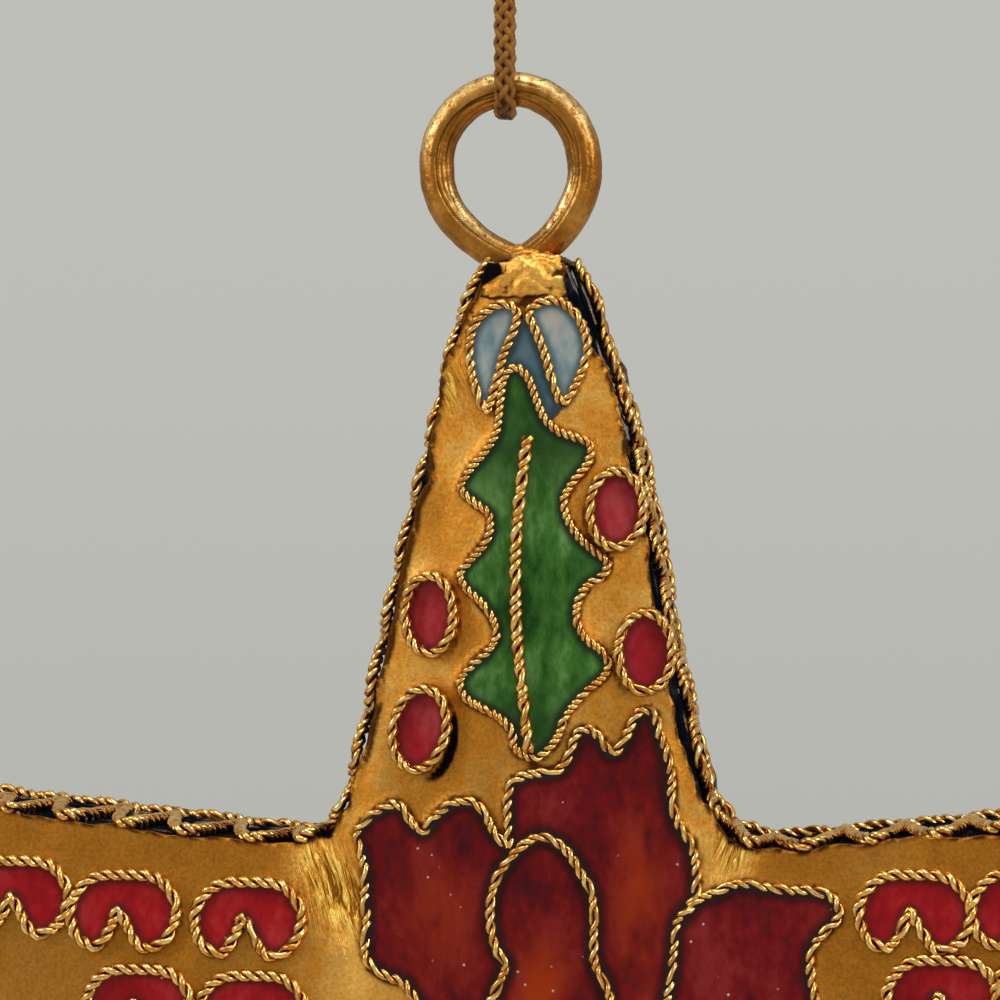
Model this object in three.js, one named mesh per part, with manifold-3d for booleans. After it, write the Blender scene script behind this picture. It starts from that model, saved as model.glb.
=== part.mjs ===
// A cloisonne star ornament: a hollow five-armed star of gilt copper sheet, its faces set with enamel
// cells between twisted wires, hung by a wire ring on a doubled cord.
// Millimetres, +Z up, +X to the right, the front faces -Y. The origin is where a hook holds the cord's
// eye.

import * as THREE from 'three';
import { mergeVertices } from 'three/addons/utils/BufferGeometryUtils.js';
import Module from 'manifold-3d';

const wasm = await Module();
wasm.setup();

// The star.
const ARMS = 5;
const TIP_R = 37.3;
const TIP_W = 3.4;
const SHOULDER_DROP = 7.3;
const SHOULDER_W = 8.6;
const NOTCH_R = 14;
const RIM_DEPTH = 8;
const SHEET = 0.5;
const FACE_SLOPE = 0.215;
const WALL_INSET = 0.45;
const WALL_SKIN_INSET = 0.08;

// Wires and enamel.
const WIRE_R = 0.23;
const WIRE_SIDES = 4;
const VEIN_R = 0.3;
const RIM_R = 0.3;
const RIM_OUT = 0.33;
const RIM_SIDES = 4;
const SCALLOPS = 8;
const SCALLOP_STEPS = 4;
const SCALLOP_EDGE = 0.15;
const SCALLOP_BACK = 1.7;
const BACK_RIM_IN = 0.4;
const ENAMEL = 0.35;
const CELL_GAP = 0.2;
const RIDGE_EASE = 0.3;
const SEAT = 0.03;
const WIRE_STEP = 1.4;
const CELL_STEP = 1.3;
const LOOP_MIN = 10;

// The tip cap, the ring and its solder.
const CAP_W = 2.6;
const CAP_DROP = 1.6;
const CAP_T = 0.3;
const RING_R = 3.33;
const RING_WIRE = 1.56;
const RING_RISE = 4.4;
const RING_SHIFT = -0.68;
const RING_LEAN = 7;
const RING_OPEN = 16;
const SOLDER_DEPTH = 2.4;

// The cord.
const CORD_D = 1;
const CORD_GAP = 0.3;
const CORD_TURN = -5;
const BIGHT_CLEAR = 0.1;
const EYE_W = 7;
const EYE_H = 14;
const KNOT_W = 3.2;
const KNOT_H = 3.4;
const STRAND_TOP = 0.55;
const STRAND_L = 15;

const SECTOR = (2 * Math.PI) / ARMS;
const HALF = SECTOR / 2;
const SHOULDER_R = TIP_R - SHOULDER_DROP;
const WALL_LEAN = Math.atan2(
  NOTCH_R * Math.sin(HALF) - SHOULDER_W / 2,
  SHOULDER_R - NOTCH_R * Math.cos(HALF)
);
const TIP_LEAN = Math.atan2((SHOULDER_W - TIP_W) / 2, SHOULDER_DROP);
const BUILT = {
  tip: TIP_R,
  tipHalf: TIP_W / 2,
  shoulder: SHOULDER_R,
  shoulderHalf: SHOULDER_W / 2,
  notch: NOTCH_R,
};
const FACE_COS = Math.cos(Math.atan(FACE_SLOPE));
const KNOT_TOP = -EYE_H - CORD_GAP;
const RING_TOP_Z = KNOT_TOP - KNOT_H - CORD_GAP - STRAND_L;
const RING_Z = RING_TOP_Z - RING_R;
const CAP_TOP = TIP_R + SEAT + CAP_T;
const RING_LEAN_RAD = THREE.MathUtils.degToRad(RING_LEAN);
const RING_UP = CAP_TOP + RING_RISE * Math.cos(RING_LEAN_RAD);
const RING_OVER = RING_SHIFT - RING_RISE * Math.sin(RING_LEAN_RAD);

const gilt = new THREE.MeshStandardMaterial({ color: 0xb4762c, roughness: 0.38, metalness: 1 });
const wireGilt = new THREE.MeshStandardMaterial({ color: 0xc79244, roughness: 0.3, metalness: 1 });
const ringGilt = new THREE.MeshStandardMaterial({ color: 0xa86c2a, roughness: 0.32, metalness: 1 });
const green = new THREE.MeshStandardMaterial({ color: 0x2a5a24, roughness: 0.12, metalness: 0 });
const darkRed = new THREE.MeshStandardMaterial({ color: 0x6a1a1a, roughness: 0.12, metalness: 0 });
const brightRed = new THREE.MeshStandardMaterial({ color: 0x8e1820, roughness: 0.12, metalness: 0 });
const paleBlue = new THREE.MeshStandardMaterial({ color: 0x87867a, roughness: 0.15, metalness: 0 });
const navy = new THREE.MeshStandardMaterial({ color: 0x0a1220, roughness: 0.15, metalness: 0 });
const yellow = new THREE.MeshStandardMaterial({ color: 0xb08a2a, roughness: 0.2, metalness: 0 });
const braid = new THREE.MeshStandardMaterial({ color: 0x764c20, roughness: 0.8, metalness: 0 });

// Outlines on the face, [across, up] from a mark a little above and beside the star's centre, with one arm
// pointing up. They are drawn on a star of this size and fitted to the one that is built.
const MARK_OVER = 0.29;
const MARK_UP = 1.3;
const DRAWN = { tip: 37.3, tipHalf: 1.7, shoulder: 30, shoulderHalf: 4.3, notch: 14 };
const LEAF = [
  [-0.7, 31.39], [-1.15, 30.96], [-1.32, 29.9], [-1.52, 28.48], [-2.04, 27.65], [-2.74, 26.83],
  [-3.09, 26.13], [-2.5, 25.52], [-1.83, 25.02], [-1.74, 24.26], [-2.0, 23.65], [-2.7, 22.89],
  [-3.09, 22.39], [-2.89, 21.83], [-2.11, 21.13], [-1.52, 20.26], [-1.43, 19.7], [-1.83, 19.0],
  [-2.5, 18.43], [-3.05, 17.7], [-2.89, 17.07], [-2.11, 16.57], [-1.35, 16.19], [-0.74, 15.61],
  [-0.57, 14.83], [0.3, 14.43], [1.17, 15.22], [1.57, 16.17], [2.35, 17.17], [3.22, 17.96],
  [3.42, 18.43], [3.13, 19.0], [2.43, 19.59], [2.06, 20.26], [2.06, 21.04], [2.43, 21.83],
  [3.22, 22.39], [3.33, 22.89], [2.74, 23.39], [2.06, 24.04], [1.57, 24.91], [1.48, 25.7],
  [1.87, 26.39], [2.55, 27.35], [2.57, 28.02], [1.91, 28.32], [1.17, 28.61], [0.65, 29.09],
  [0.26, 29.96], [-0.17, 31.0],
];
const VEIN = [[-0.09, 28.3], [-0.52, 24.5], [-0.57, 21.9], [-0.48, 19.5], [-0.22, 17.07], [0.28, 14.5]];
const DROP_LEFT = [
  [-1.2, 33.8], [-1.9, 33.1], [-2.15, 32.2], [-2.15, 30.96], [-1.7, 29.6], [-1.25, 30.72],
  [-1.0, 32.07], [-0.62, 33.4],
];
const DROP_RIGHT = [
  [0.3, 33.8], [1.2, 33.8], [1.85, 32.96], [2.05, 32.07], [1.8, 30.87], [0.8, 28.8], [0.65, 30.72],
  [0.35, 32.07], [-0.1, 33.3],
];
const BERRIES = [
  { at: [2.98, 25.2], half: [1.15, 1.65], tilt: 0 },
  { at: [4.3, 19.0], half: [1.15, 1.65], tilt: 0 },
  { at: [-3.72, 20.75], half: [1.1, 1.65], tilt: 0 },
  { at: [-3.95, 15.85], half: [1.2, 1.8], tilt: 25 },
];
const PETAL_A = [
  [-0.83, 10.52], [-1.48, 11.17], [-2.3, 12.4], [-3.4, 12.35], [-4.67, 11.15], [-5.83, 12.26],
  [-7.0, 10.3], [-7.05, 9.1], [-7.2, 7.0], [-7.1, 5.57], [-5.52, 4.52], [-3.4, 2.2], [-1.65, 0.2],
];
const PETAL_B = [
  [-0.83, 10.52], [-0.9, 12.4], [-0.65, 13.41], [0.13, 13.74], [1.24, 13.87], [2.13, 15.52],
  [3.0, 15.3], [3.57, 14.65], [4.3, 15.6], [4.91, 16.4], [5.57, 15.52], [6.13, 13.2], [6.5, 11.4],
  [7.13, 9.96], [7.13, 8.4], [6.5, 7.3], [6.3, 6.0], [5.6, 3.4], [2.8, 0.6],
];
const PETAL_C = [
  [-1.3, 1.2], [-1.5, 3.2], [-1.0, 5.2], [-1.4, 6.4], [-1.6, 7.8], [-1.3, 9.3], [-0.83, 10.2],
  [0.48, 11.04], [1.6, 10.5], [2.3, 9.5], [2.85, 7.74], [2.9, 5.5], [2.9, 3.5], [1.9, 1.8],
];
const PETAL_D = [
  [6.7, 7.7], [8.1, 8.65], [10.1, 8.87], [12.2, 8.74], [13.4, 7.74], [12.3, 6.2], [12.3, 3.8],
  [9.5, 1.2], [6.5, -0.1], [2.8, -0.3],
];
const FLOWER_CENTRE = [0.6, 0];
const CENTRE_R = 2.3;
const CLOUD = [
  [0, 1.65], [-1.5, 1.45], [-2.35, 0.3], [-2.0, -1.1], [-1.0, -1.45], [-0.45, -0.7], [0, -0.35],
  [0.45, -0.7], [1.0, -1.45], [2.0, -1.1], [2.35, 0.3], [1.5, 1.45],
];
const CLOUDS_LEFT = [[-12.4, 7.1], [-17.1, 7.3], [-21.8, 7.8], [-26.3, 8.5], [-12.6, 3.9], [-17.2, 4.2]];
const CLOUDS_RIGHT = [[16.6, 7.8], [21.2, 7.9], [25.8, 8.3], [16.7, 4.6], [21.2, 4.8]];
const SOLDER = [
  [-2.1, 0.02], [2.1, 0.02], [2.0, 0.55], [1.25, 1.35], [0.35, 1.5], [-0.1, 1.15], [-0.6, 1.6],
  [-1.5, 1.4], [-2.1, 0.6],
];

function solid(geometry) {
  const bare = geometry.clone();
  for (const name of Object.keys(bare.attributes)) {
    if (name !== 'position') bare.deleteAttribute(name);
  }
  const merged = mergeVertices(bare, 1e-4);
  const vertProperties = new Float32Array(merged.attributes.position.array);
  const triVerts = new Uint32Array(merged.index.array);
  return new wasm.Manifold(new wasm.Mesh({ numProp: 3, vertProperties, triVerts }));
}

function geometryOf(body) {
  const mesh = body.getMesh();
  const geometry = new THREE.BufferGeometry();
  const position = new THREE.BufferAttribute(new Float32Array(mesh.vertProperties), 3);
  geometry.setAttribute('position', position);
  geometry.setIndex(new THREE.BufferAttribute(new Uint32Array(mesh.triVerts), 1));
  geometry.computeVertexNormals();
  return geometry;
}

function join(geometries) {
  return geometryOf(geometries.map(solid).reduce((all, next) => all.add(next)));
}

function piece(group, name, geometry, material) {
  const mesh = new THREE.Mesh(geometry, material);
  mesh.name = name;
  group.add(mesh);
}

// The distance in from a wall with that lean, of a point that lies this far in and down from a point of it.
function inward(aside, below, lean) {
  return aside * Math.cos(lean) + below * Math.sin(lean);
}

// How far the embossed face stands above the rim's plane: flat facets that fall from the star's centre
// and from the ridge along each arm to the walls. With an ease, the ridge is taken as flat that far out.
function rise(u, v, ease) {
  const turn = Math.round(Math.atan2(u, v) / SECTOR) * SECTOR;
  const across = Math.abs(u * Math.cos(turn) - v * Math.sin(turn));
  const along = u * Math.sin(turn) + v * Math.cos(turn);
  const out = Math.max(0, across - ease);
  const fromWall = inward(SHOULDER_W / 2 - out, SHOULDER_R - along, WALL_LEAN);
  const fromTip = inward(TIP_W / 2 - out, TIP_R - along, TIP_LEAN);
  return FACE_SLOPE * Math.min(fromWall, fromTip);
}

// One arm's outline, moved inward, from its right inner corner over the tip to its left inner corner.
function armOutline(inset) {
  const notch = NOTCH_R - inset / Math.sin(HALF + WALL_LEAN);
  const bend = (TIP_LEAN - WALL_LEAN) / 2;
  const across = inset / Math.cos(bend);
  const corner = TIP_W / 2 - (inset * (1 - Math.sin(TIP_LEAN))) / Math.cos(TIP_LEAN);
  const right = [
    [notch * Math.sin(HALF), notch * Math.cos(HALF)],
    [
      SHOULDER_W / 2 - across * Math.cos(WALL_LEAN + bend),
      SHOULDER_R - across * Math.sin(WALL_LEAN + bend),
    ],
    [corner, TIP_R - inset],
  ];
  return [...right, ...right.map(([u, v]) => [-u, v]).reverse()];
}

function turned([u, v], arm) {
  const c = Math.cos(arm * SECTOR);
  const s = Math.sin(arm * SECTOR);
  return [u * c + v * s, v * c - u * s];
}

// The whole outline, moved inward.
function starOutline(inset) {
  const points = [];
  const [notch, shoulderRight, tipRight, tipLeft, shoulderLeft] = armOutline(inset);
  for (let arm = 0; arm < ARMS; arm++) {
    for (const p of [shoulderLeft, tipLeft, tipRight, shoulderRight, notch]) {
      points.push(turned(p, arm));
    }
  }
  return points;
}

// The arm's half-width at a height above the star's centre: a sector up to the inner corners, then the arm
// up to its shoulder, then its tip.
function halfWidth(along, star) {
  const base = star.notch * Math.cos(HALF);
  if (along <= base) return along * Math.tan(HALF);
  if (along <= star.shoulder) {
    const share = (star.shoulder - along) / (star.shoulder - base);
    return star.shoulderHalf + share * (star.notch * Math.sin(HALF) - star.shoulderHalf);
  }
  const share = (star.tip - along) / (star.tip - star.shoulder);
  return star.tipHalf + share * (star.shoulderHalf - star.tipHalf);
}

// A height above the star's centre, moved from one star to the same share of the same part of another.
function moved(along, from, to) {
  const marks = (star) => [0, star.notch * Math.cos(HALF), star.shoulder, star.tip];
  const [low, high] = [marks(from), marks(to)];
  const part = low.findIndex((mark, i) => i === 2 || along < low[i + 1]);
  const share = (along - low[part]) / (low[part + 1] - low[part]);
  return high[part] + share * (high[part + 1] - high[part]);
}

// A drawn point at the same share of the arm's length and width on the star that is built.
function fitted(point) {
  const raised = [point[0] + MARK_OVER, point[1] + MARK_UP];
  const arm = Math.round(Math.atan2(...raised) / SECTOR);
  const [across, along] = turned(raised, -arm);
  const up = moved(along, DRAWN, BUILT);
  return turned([(across * halfWidth(up, BUILT)) / halfWidth(along, DRAWN), up], arm);
}

function shapeOf(points) {
  return new THREE.Shape(points.map(([u, v]) => new THREE.Vector2(u, v)));
}

// An outline on the face extruded toward the front, from depth y0 to y1.
function prism(shape, y0, y1) {
  const geometry = new THREE.ExtrudeGeometry(shape, { depth: y0 - y1, bevelEnabled: false });
  geometry.rotateX(Math.PI / 2);
  geometry.translate(0, y0, 0);
  return geometry;
}

// A sheet that follows the face, between two heights above it. Each half of an arm has a long facet, up
// to the line where the tip's facet meets it, and the tip's facet.
function faceSheet(low, high) {
  const reach = inward(SHOULDER_W / 2, SHOULDER_R, WALL_LEAN) - inward(TIP_W / 2, TIP_R, TIP_LEAN);
  const hip = reach / (Math.sin(WALL_LEAN) - Math.sin(TIP_LEAN));
  const points = [[0, 0]];
  const [notch, shoulderRight, tipRight, tipLeft, shoulderLeft] = armOutline(0);
  for (let arm = 0; arm < ARMS; arm++) {
    const corners = [[0, hip], shoulderLeft, tipLeft, [0, TIP_R], tipRight, shoulderRight, notch];
    for (const p of corners) points.push(turned(p, arm));
  }
  const n = points.length;
  const per = (n - 1) / ARMS;
  const top = [];
  const edge = [];
  for (let arm = 0; arm < ARMS; arm++) {
    const first = 1 + arm * per;
    const [ridge, sl, tl, end, tr, sr, nr] = [0, 1, 2, 3, 4, 5, 6].map((i) => first + i);
    const nl = 1 + ((arm + ARMS - 1) % ARMS) * per + 6;
    top.push([0, sl, nl], [0, ridge, sl], [ridge, tl, sl], [ridge, end, tl]);
    top.push([ridge, tr, end], [ridge, sr, tr], [0, sr, ridge], [0, nr, sr]);
    edge.push([nl, sl], [sl, tl], [tl, end], [end, tr], [tr, sr], [sr, nr]);
  }
  const positions = [];
  for (const h of [high, low]) {
    for (const [u, v] of points) positions.push(u, -(RIM_DEPTH / 2 + rise(u, v, 0) + h), v);
  }
  const index = [];
  for (const [a, b, c] of top) index.push(a, b, c, n + a, n + c, n + b);
  for (const [a, b] of edge) index.push(a, b, n + b, a, n + b, n + a);
  const geometry = new THREE.BufferGeometry();
  geometry.setAttribute('position', new THREE.Float32BufferAttribute(positions, 3));
  geometry.setIndex(index);
  return geometry;
}

function flatCurve(points, closed) {
  const along = points.map(fitted).map(([u, v]) => new THREE.Vector3(u, 0, v));
  return new THREE.CatmullRomCurve3(along, closed, 'centripetal');
}

// The centreline of a wire that lies on the face.
class FaceCurve extends THREE.Curve {
  constructor(points, closed, radius) {
    super();
    this.flat = flatCurve(points, closed);
    this.lift = RIM_DEPTH / 2 + SEAT + radius / FACE_COS;
  }

  getPoint(t, target = new THREE.Vector3()) {
    this.flat.getPoint(t, target);
    target.y = -(this.lift + rise(target.x, target.z, RIDGE_EASE));
    return target;
  }
}

function roundSection(radius, sides) {
  const points = [];
  for (let i = 0; i < sides; i++) {
    const a = (2 * Math.PI * (i + 0.5)) / sides;
    points.push([radius * Math.cos(a), radius * Math.sin(a)]);
  }
  return shapeOf(points);
}

function rod(curve, radius, sides, steps) {
  return new THREE.ExtrudeGeometry(roundSection(radius, sides), { steps, extrudePath: curve });
}

function wireLoop(points) {
  const curve = new FaceCurve(points, true, WIRE_R);
  const steps = Math.round(Math.max(LOOP_MIN, curve.getLength() / WIRE_STEP));
  return new THREE.TubeGeometry(curve, steps, WIRE_R, WIRE_SIDES, true);
}

function wireRun(points, radius, thickness = radius) {
  const curve = new FaceCurve(points, false, radius);
  return rod(curve, thickness, WIRE_SIDES, Math.round(curve.getLength() / WIRE_STEP));
}

// An enamel cell: its outline drawn in from the wire's centreline, filled to the enamel's thickness.
function cell(points) {
  const curve = flatCurve(points, true);
  const steps = Math.round(Math.max(LOOP_MIN, curve.getLength() / CELL_STEP));
  const outline = curve.getSpacedPoints(steps).slice(0, steps);
  const drawn = outline.map((p) => new THREE.Vector2(p.x, p.z));
  const side = THREE.ShapeUtils.isClockWise(drawn) ? -1 : 1;
  const inset = side * (WIRE_R + CELL_GAP);
  const inner = drawn.map((p, i) => {
    const before = drawn[(i + steps - 1) % steps];
    const after = drawn[(i + 1) % steps];
    const run = after.clone().sub(before).normalize();
    return new THREE.Vector2(p.x - run.y * inset, p.y + run.x * inset);
  });
  const block = prism(new THREE.Shape(inner), -RIM_DEPTH / 2 + 1, -RIM_DEPTH / 2 - 5);
  return solid(block).intersect(filler);
}

function ellipse([u, v], [a, b], tilt, count) {
  const lean = THREE.MathUtils.degToRad(tilt);
  const points = [];
  for (let i = 0; i < count; i++) {
    const t = (2 * Math.PI * i) / count;
    const [x, y] = [a * Math.cos(t), b * Math.sin(t)];
    points.push([u + x * Math.cos(lean) + y * Math.sin(lean), v + y * Math.cos(lean) - x * Math.sin(lean)]);
  }
  return points;
}

// The lower petals repeat the upper ones, flipped about the flower's centre.
function flipped(points) {
  return points.map(([u, v]) => [u, 2 * FLOWER_CENTRE[1] - v]);
}

const filler = solid(faceSheet(SEAT, SEAT + ENAMEL));
const berryLoops = BERRIES.map(({ at, half, tilt }) => ellipse(at, half, tilt, 8));
const centreLoop = ellipse(FLOWER_CENTRE, [CENTRE_R, CENTRE_R], 0, 12);

const leafWire = join([
  wireLoop(LEAF),
  wireRun(VEIN, VEIN_R),
  wireLoop(DROP_LEFT),
  wireLoop(DROP_RIGHT),
  ...berryLoops.map(wireLoop),
]);
const veinChannel = solid(wireRun(VEIN, VEIN_R, VEIN_R + CELL_GAP));
const leafEnamel = geometryOf(cell(LEAF).subtract(veinChannel));

function cloudWire(centres) {
  return join(centres.map(([u, v]) => wireLoop(CLOUD.map(([a, b]) => [u + a, v + b]))));
}
const cloudWireLeft = cloudWire(CLOUDS_LEFT);
const cloudWireRight = cloudWire(CLOUDS_RIGHT);

const flowerWire = join([
  wireLoop(centreLoop),
  wireRun(PETAL_A, WIRE_R),
  wireRun(PETAL_B, WIRE_R),
  wireRun(PETAL_C, WIRE_R),
  wireRun(PETAL_D, WIRE_R),
  wireRun(flipped(PETAL_A), WIRE_R),
  wireRun(flipped(PETAL_B), WIRE_R),
  wireRun(flipped(PETAL_C), WIRE_R),
]);

// Each petal's cell is closed by the neighbour that it lies behind and by the flower's centre.
const cellA = [...PETAL_A.slice(0, -1), [-2.4, 1.5], ...PETAL_C.slice(1, 6)];
const cellB = [
  ...PETAL_B.slice(0, -1), [4.4, 2.7], [3.3, 2.5], ...PETAL_C.slice(7, 13).reverse(), [-0.2, 10.85],
];
const cellC = [...PETAL_C.slice(1, -1), [0.6, 2.5]];
const cellD = [...PETAL_D.slice(0, -1), [4.6, 0.2], ...PETAL_B.slice(15, 18).reverse()];
const PETAL_CELLS = [
  ['petal_1', cellA],
  ['petal_2', cellB],
  ['petal_3', cellC],
  ['petal_4', cellD],
  ['petal_5', flipped(cellB)],
  ['petal_6', flipped(cellC)],
  ['petal_7', flipped(cellA)],
];

// Points on a bent path at even shares of its length, or its corners alone where none are asked for.
function spaced(path, count) {
  const corners = path.map(([u, v]) => new THREE.Vector2(u, v));
  if (count === 0) return corners;
  const curve = new THREE.CurvePath();
  for (let i = 1; i < corners.length; i++) curve.add(new THREE.LineCurve(corners[i - 1], corners[i]));
  return curve.getSpacedPoints(count);
}

// A wire laid on the walls all round the star, from one side of the tip cap to the other, in scallops that
// belly at one depth and reach to another. With no scallops it runs straight.
function wallWire(belly, reach, scallops) {
  const [notch, shoulderRight, tipRight, tipLeft, shoulderLeft, notchLeft] = armOutline(-RIM_OUT);
  const down = [tipRight, shoulderRight, notch];
  const up = [notchLeft, shoulderLeft, tipLeft];
  const points = [];
  function lay(path, arm, arcs) {
    spaced(path.map((p) => turned(p, arm)), arcs * SCALLOP_STEPS).forEach((p, i) => {
      if (i === 0 && points.length > 0) return;
      const wave = (1 + Math.cos((2 * Math.PI * i) / SCALLOP_STEPS)) / 2;
      points.push(new THREE.Vector3(p.x, belly + (reach - belly) * wave, p.y));
    });
  }
  const bend = scallops > 0 ? 1 : 0;
  for (let arm = 0; arm < ARMS; arm++) {
    lay(down, arm, scallops);
    lay(up, arm + 1, scallops);
    if (arm < ARMS - 1) lay([tipLeft, tipRight], arm + 1, bend);
  }
  return rodThrough(points, RIM_R, RIM_SIDES);
}

// A rod on the walls through corner points, each corner mitred, its section square to the wall.
function rodThrough(points, radius, sides) {
  const positions = [];
  const index = [];
  points.forEach((p, i) => {
    const before = points[Math.max(i - 1, 0)];
    const after = points[Math.min(i + 1, points.length - 1)];
    const into = p.clone().sub(before).normalize();
    const away = after.clone().sub(p).normalize();
    if (i === 0) into.copy(away);
    if (i === points.length - 1) away.copy(into);
    const run = into.clone().add(away).normalize();
    const out = new THREE.Vector3(after.z - before.z, 0, before.x - after.x);
    const across = new THREE.Vector3().crossVectors(run, out).normalize();
    const up = new THREE.Vector3().crossVectors(across, run);
    const stretch = Math.min(2, 1 / run.dot(away));
    for (let k = 0; k < sides; k++) {
      const a = (2 * Math.PI * (k + 0.5)) / sides;
      const q = p.clone();
      q.addScaledVector(across, stretch * radius * Math.cos(a));
      q.addScaledVector(up, radius * Math.sin(a));
      positions.push(q.x, q.y, q.z);
    }
  });
  const rows = points.length;
  for (let r = 0; r < rows - 1; r++) {
    for (let k = 0; k < sides; k++) {
      const a = r * sides + k;
      const b = r * sides + ((k + 1) % sides);
      index.push(a, b + sides, b, a, a + sides, b + sides);
    }
  }
  const last = (rows - 1) * sides;
  for (let k = 1; k < sides - 1; k++) {
    index.push(0, k, k + 1, last, last + k + 1, last + k);
  }
  const geometry = new THREE.BufferGeometry();
  geometry.setAttribute('position', new THREE.Float32BufferAttribute(positions, 3));
  geometry.setIndex(index);
  return geometry;
}

const plate = faceSheet(-SHEET, 0);
const centreCell = geometryOf(cell(centreLoop));
const petalCells = PETAL_CELLS.map(([name, points]) => [name, geometryOf(cell(points))]);

function face(side) {
  const group = new THREE.Group();
  piece(group, `${side}_plate`, plate, gilt);
  piece(group, `${side}_flower_wire`, flowerWire, wireGilt);
  piece(group, `${side}_flower_centre`, centreCell, yellow);
  for (const [name, geometry] of petalCells) piece(group, `${side}_${name}`, geometry, darkRed);
  piece(group, `${side}_cloud_wire_right`, cloudWireRight, wireGilt);
  piece(group, `${side}_cloud_wire_left`, cloudWireLeft, wireGilt);
  for (const [arm, place] of [[0, 'top'], [2, 'low_right'], [3, 'low_left']]) {
    const turn = new THREE.Group();
    turn.rotation.y = arm * SECTOR;
    piece(turn, `${side}_holly_wire_${place}`, leafWire, wireGilt);
    piece(turn, `${side}_holly_leaf_${place}`, leafEnamel, green);
    group.add(turn);
  }
  return group;
}

const star = new THREE.Group();
star.position.set(0, 0, RING_Z - RING_UP);
const front = face('front');
berryLoops.forEach((loop, i) => {
  piece(front, `front_berry_${i + 1}`, geometryOf(cell(loop)), brightRed);
});
const blunt = (drop) => drop.filter(([, v]) => v > 30);
piece(front, 'front_drop_left', geometryOf(cell(blunt(DROP_LEFT))), paleBlue);
piece(front, 'front_drop_right', geometryOf(cell(blunt(DROP_RIGHT))), paleBlue);
star.add(front);
const back = face('back');
back.rotation.z = Math.PI;
star.add(back);

// The walls: one bent strip to each arm, mitred to its neighbours at the inner corners.
const wallHalf = RIM_DEPTH / 2 - SHEET - SEAT;
const mitre = [(-Math.cos(HALF) * SEAT) / 2, (Math.sin(HALF) * SEAT) / 2];
function strip(inset) {
  const [right, ...between] = armOutline(inset);
  const left = between.pop();
  return [
    [right[0] + mitre[0], right[1] + mitre[1]],
    ...between,
    [left[0] - mitre[0], left[1] + mitre[1]],
  ];
}
const wallShape = shapeOf([...strip(WALL_INSET), ...strip(WALL_INSET + SHEET).reverse()]);
const wall = prism(wallShape, wallHalf, -wallHalf);
for (let arm = 0; arm < ARMS; arm++) {
  const turn = new THREE.Group();
  turn.rotation.y = arm * SECTOR;
  piece(turn, `wall_${arm + 1}`, wall, gilt);
  star.add(turn);
}
const skinOuter = prism(shapeOf(starOutline(WALL_SKIN_INSET)), wallHalf, -wallHalf);
const skinInner = prism(shapeOf(starOutline(WALL_INSET - SEAT)), RIM_DEPTH, -RIM_DEPTH);
const edge = RIM_DEPTH / 2;
const scalloped = wallWire(SCALLOP_EDGE - edge, edge - SCALLOP_BACK, SCALLOPS);
piece(star, 'front_rim_wire', scalloped, wireGilt);
piece(star, 'back_rim_wire', wallWire(edge - BACK_RIM_IN, edge - BACK_RIM_IN, 0), wireGilt);
piece(star, 'wall_enamel', geometryOf(solid(skinOuter).subtract(solid(skinInner))), navy);

// The tip cap: a saddle of sheet over the top arm's tip, folded down on both faces along the ridge.
function tipCap() {
  const columns = [-CAP_W / 2, 0, CAP_W / 2];
  const foot = TIP_R - CAP_DROP;
  const inner = TIP_R + SEAT;
  const sections = columns.map((u) => {
    const depth = (v, h) => RIM_DEPTH / 2 + rise(u, Math.min(v, TIP_R), 0) + SEAT + h;
    const half = [
      [foot, depth(foot, CAP_T)],
      [foot, depth(foot, 0)],
      [inner, depth(TIP_R, 0)],
    ];
    const ring = half.map(([v, d]) => new THREE.Vector3(u, -d, v));
    ring.push(...half.map(([v, d]) => new THREE.Vector3(u, d, v)).reverse());
    ring.push(new THREE.Vector3(u, depth(TIP_R, CAP_T), CAP_TOP));
    ring.push(new THREE.Vector3(u, -depth(TIP_R, CAP_T), CAP_TOP));
    return ring;
  });
  const n = sections[0].length;
  const positions = sections.flat().flatMap((p) => [p.x, p.y, p.z]);
  const index = [];
  for (let c = 0; c < columns.length - 1; c++) {
    for (let i = 0; i < n; i++) {
      const a = c * n + i;
      const b = c * n + ((i + 1) % n);
      index.push(a, b, a + n, b, b + n, a + n);
    }
  }
  const flat = sections[0].map((p) => new THREE.Vector2(p.y, p.z));
  const end = (columns.length - 1) * n;
  for (const [a, b, c] of THREE.ShapeUtils.triangulateShape(flat, [])) {
    index.push(a, c, b, end + a, end + b, end + c);
  }
  const geometry = new THREE.BufferGeometry();
  geometry.setAttribute('position', new THREE.Float32BufferAttribute(positions, 3));
  geometry.setIndex(index);
  return geometry;
}
piece(star, 'tip_cap', tipCap(), gilt);

// The ring: a wire bent to a circle, open at the bottom, leaning a little to the left.
function ringRod(radius) {
  const points = [];
  const open = THREE.MathUtils.degToRad(RING_OPEN);
  const count = 16;
  for (let i = 0; i <= count; i++) {
    const a = open + (i / count) * 2 * (Math.PI - open);
    points.push(new THREE.Vector3(-RING_R * Math.sin(a), 0, RING_RISE - RING_R * Math.cos(a)));
  }
  const geometry = rod(new THREE.CatmullRomCurve3(points), radius, 8, 26);
  geometry.rotateY(-RING_LEAN_RAD);
  geometry.translate(RING_SHIFT, 0, CAP_TOP);
  return geometry;
}
piece(star, 'hanging_ring', ringRod(RING_WIRE / 2), ringGilt);
const solderBlock = prism(
  shapeOf(SOLDER.map(([u, v]) => [u, v + CAP_TOP])),
  SOLDER_DEPTH / 2,
  -SOLDER_DEPTH / 2
);
const solder = solid(solderBlock).subtract(solid(ringRod(RING_WIRE / 2 + SEAT)));
piece(star, 'ring_solder', geometryOf(solder), gilt);

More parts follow.
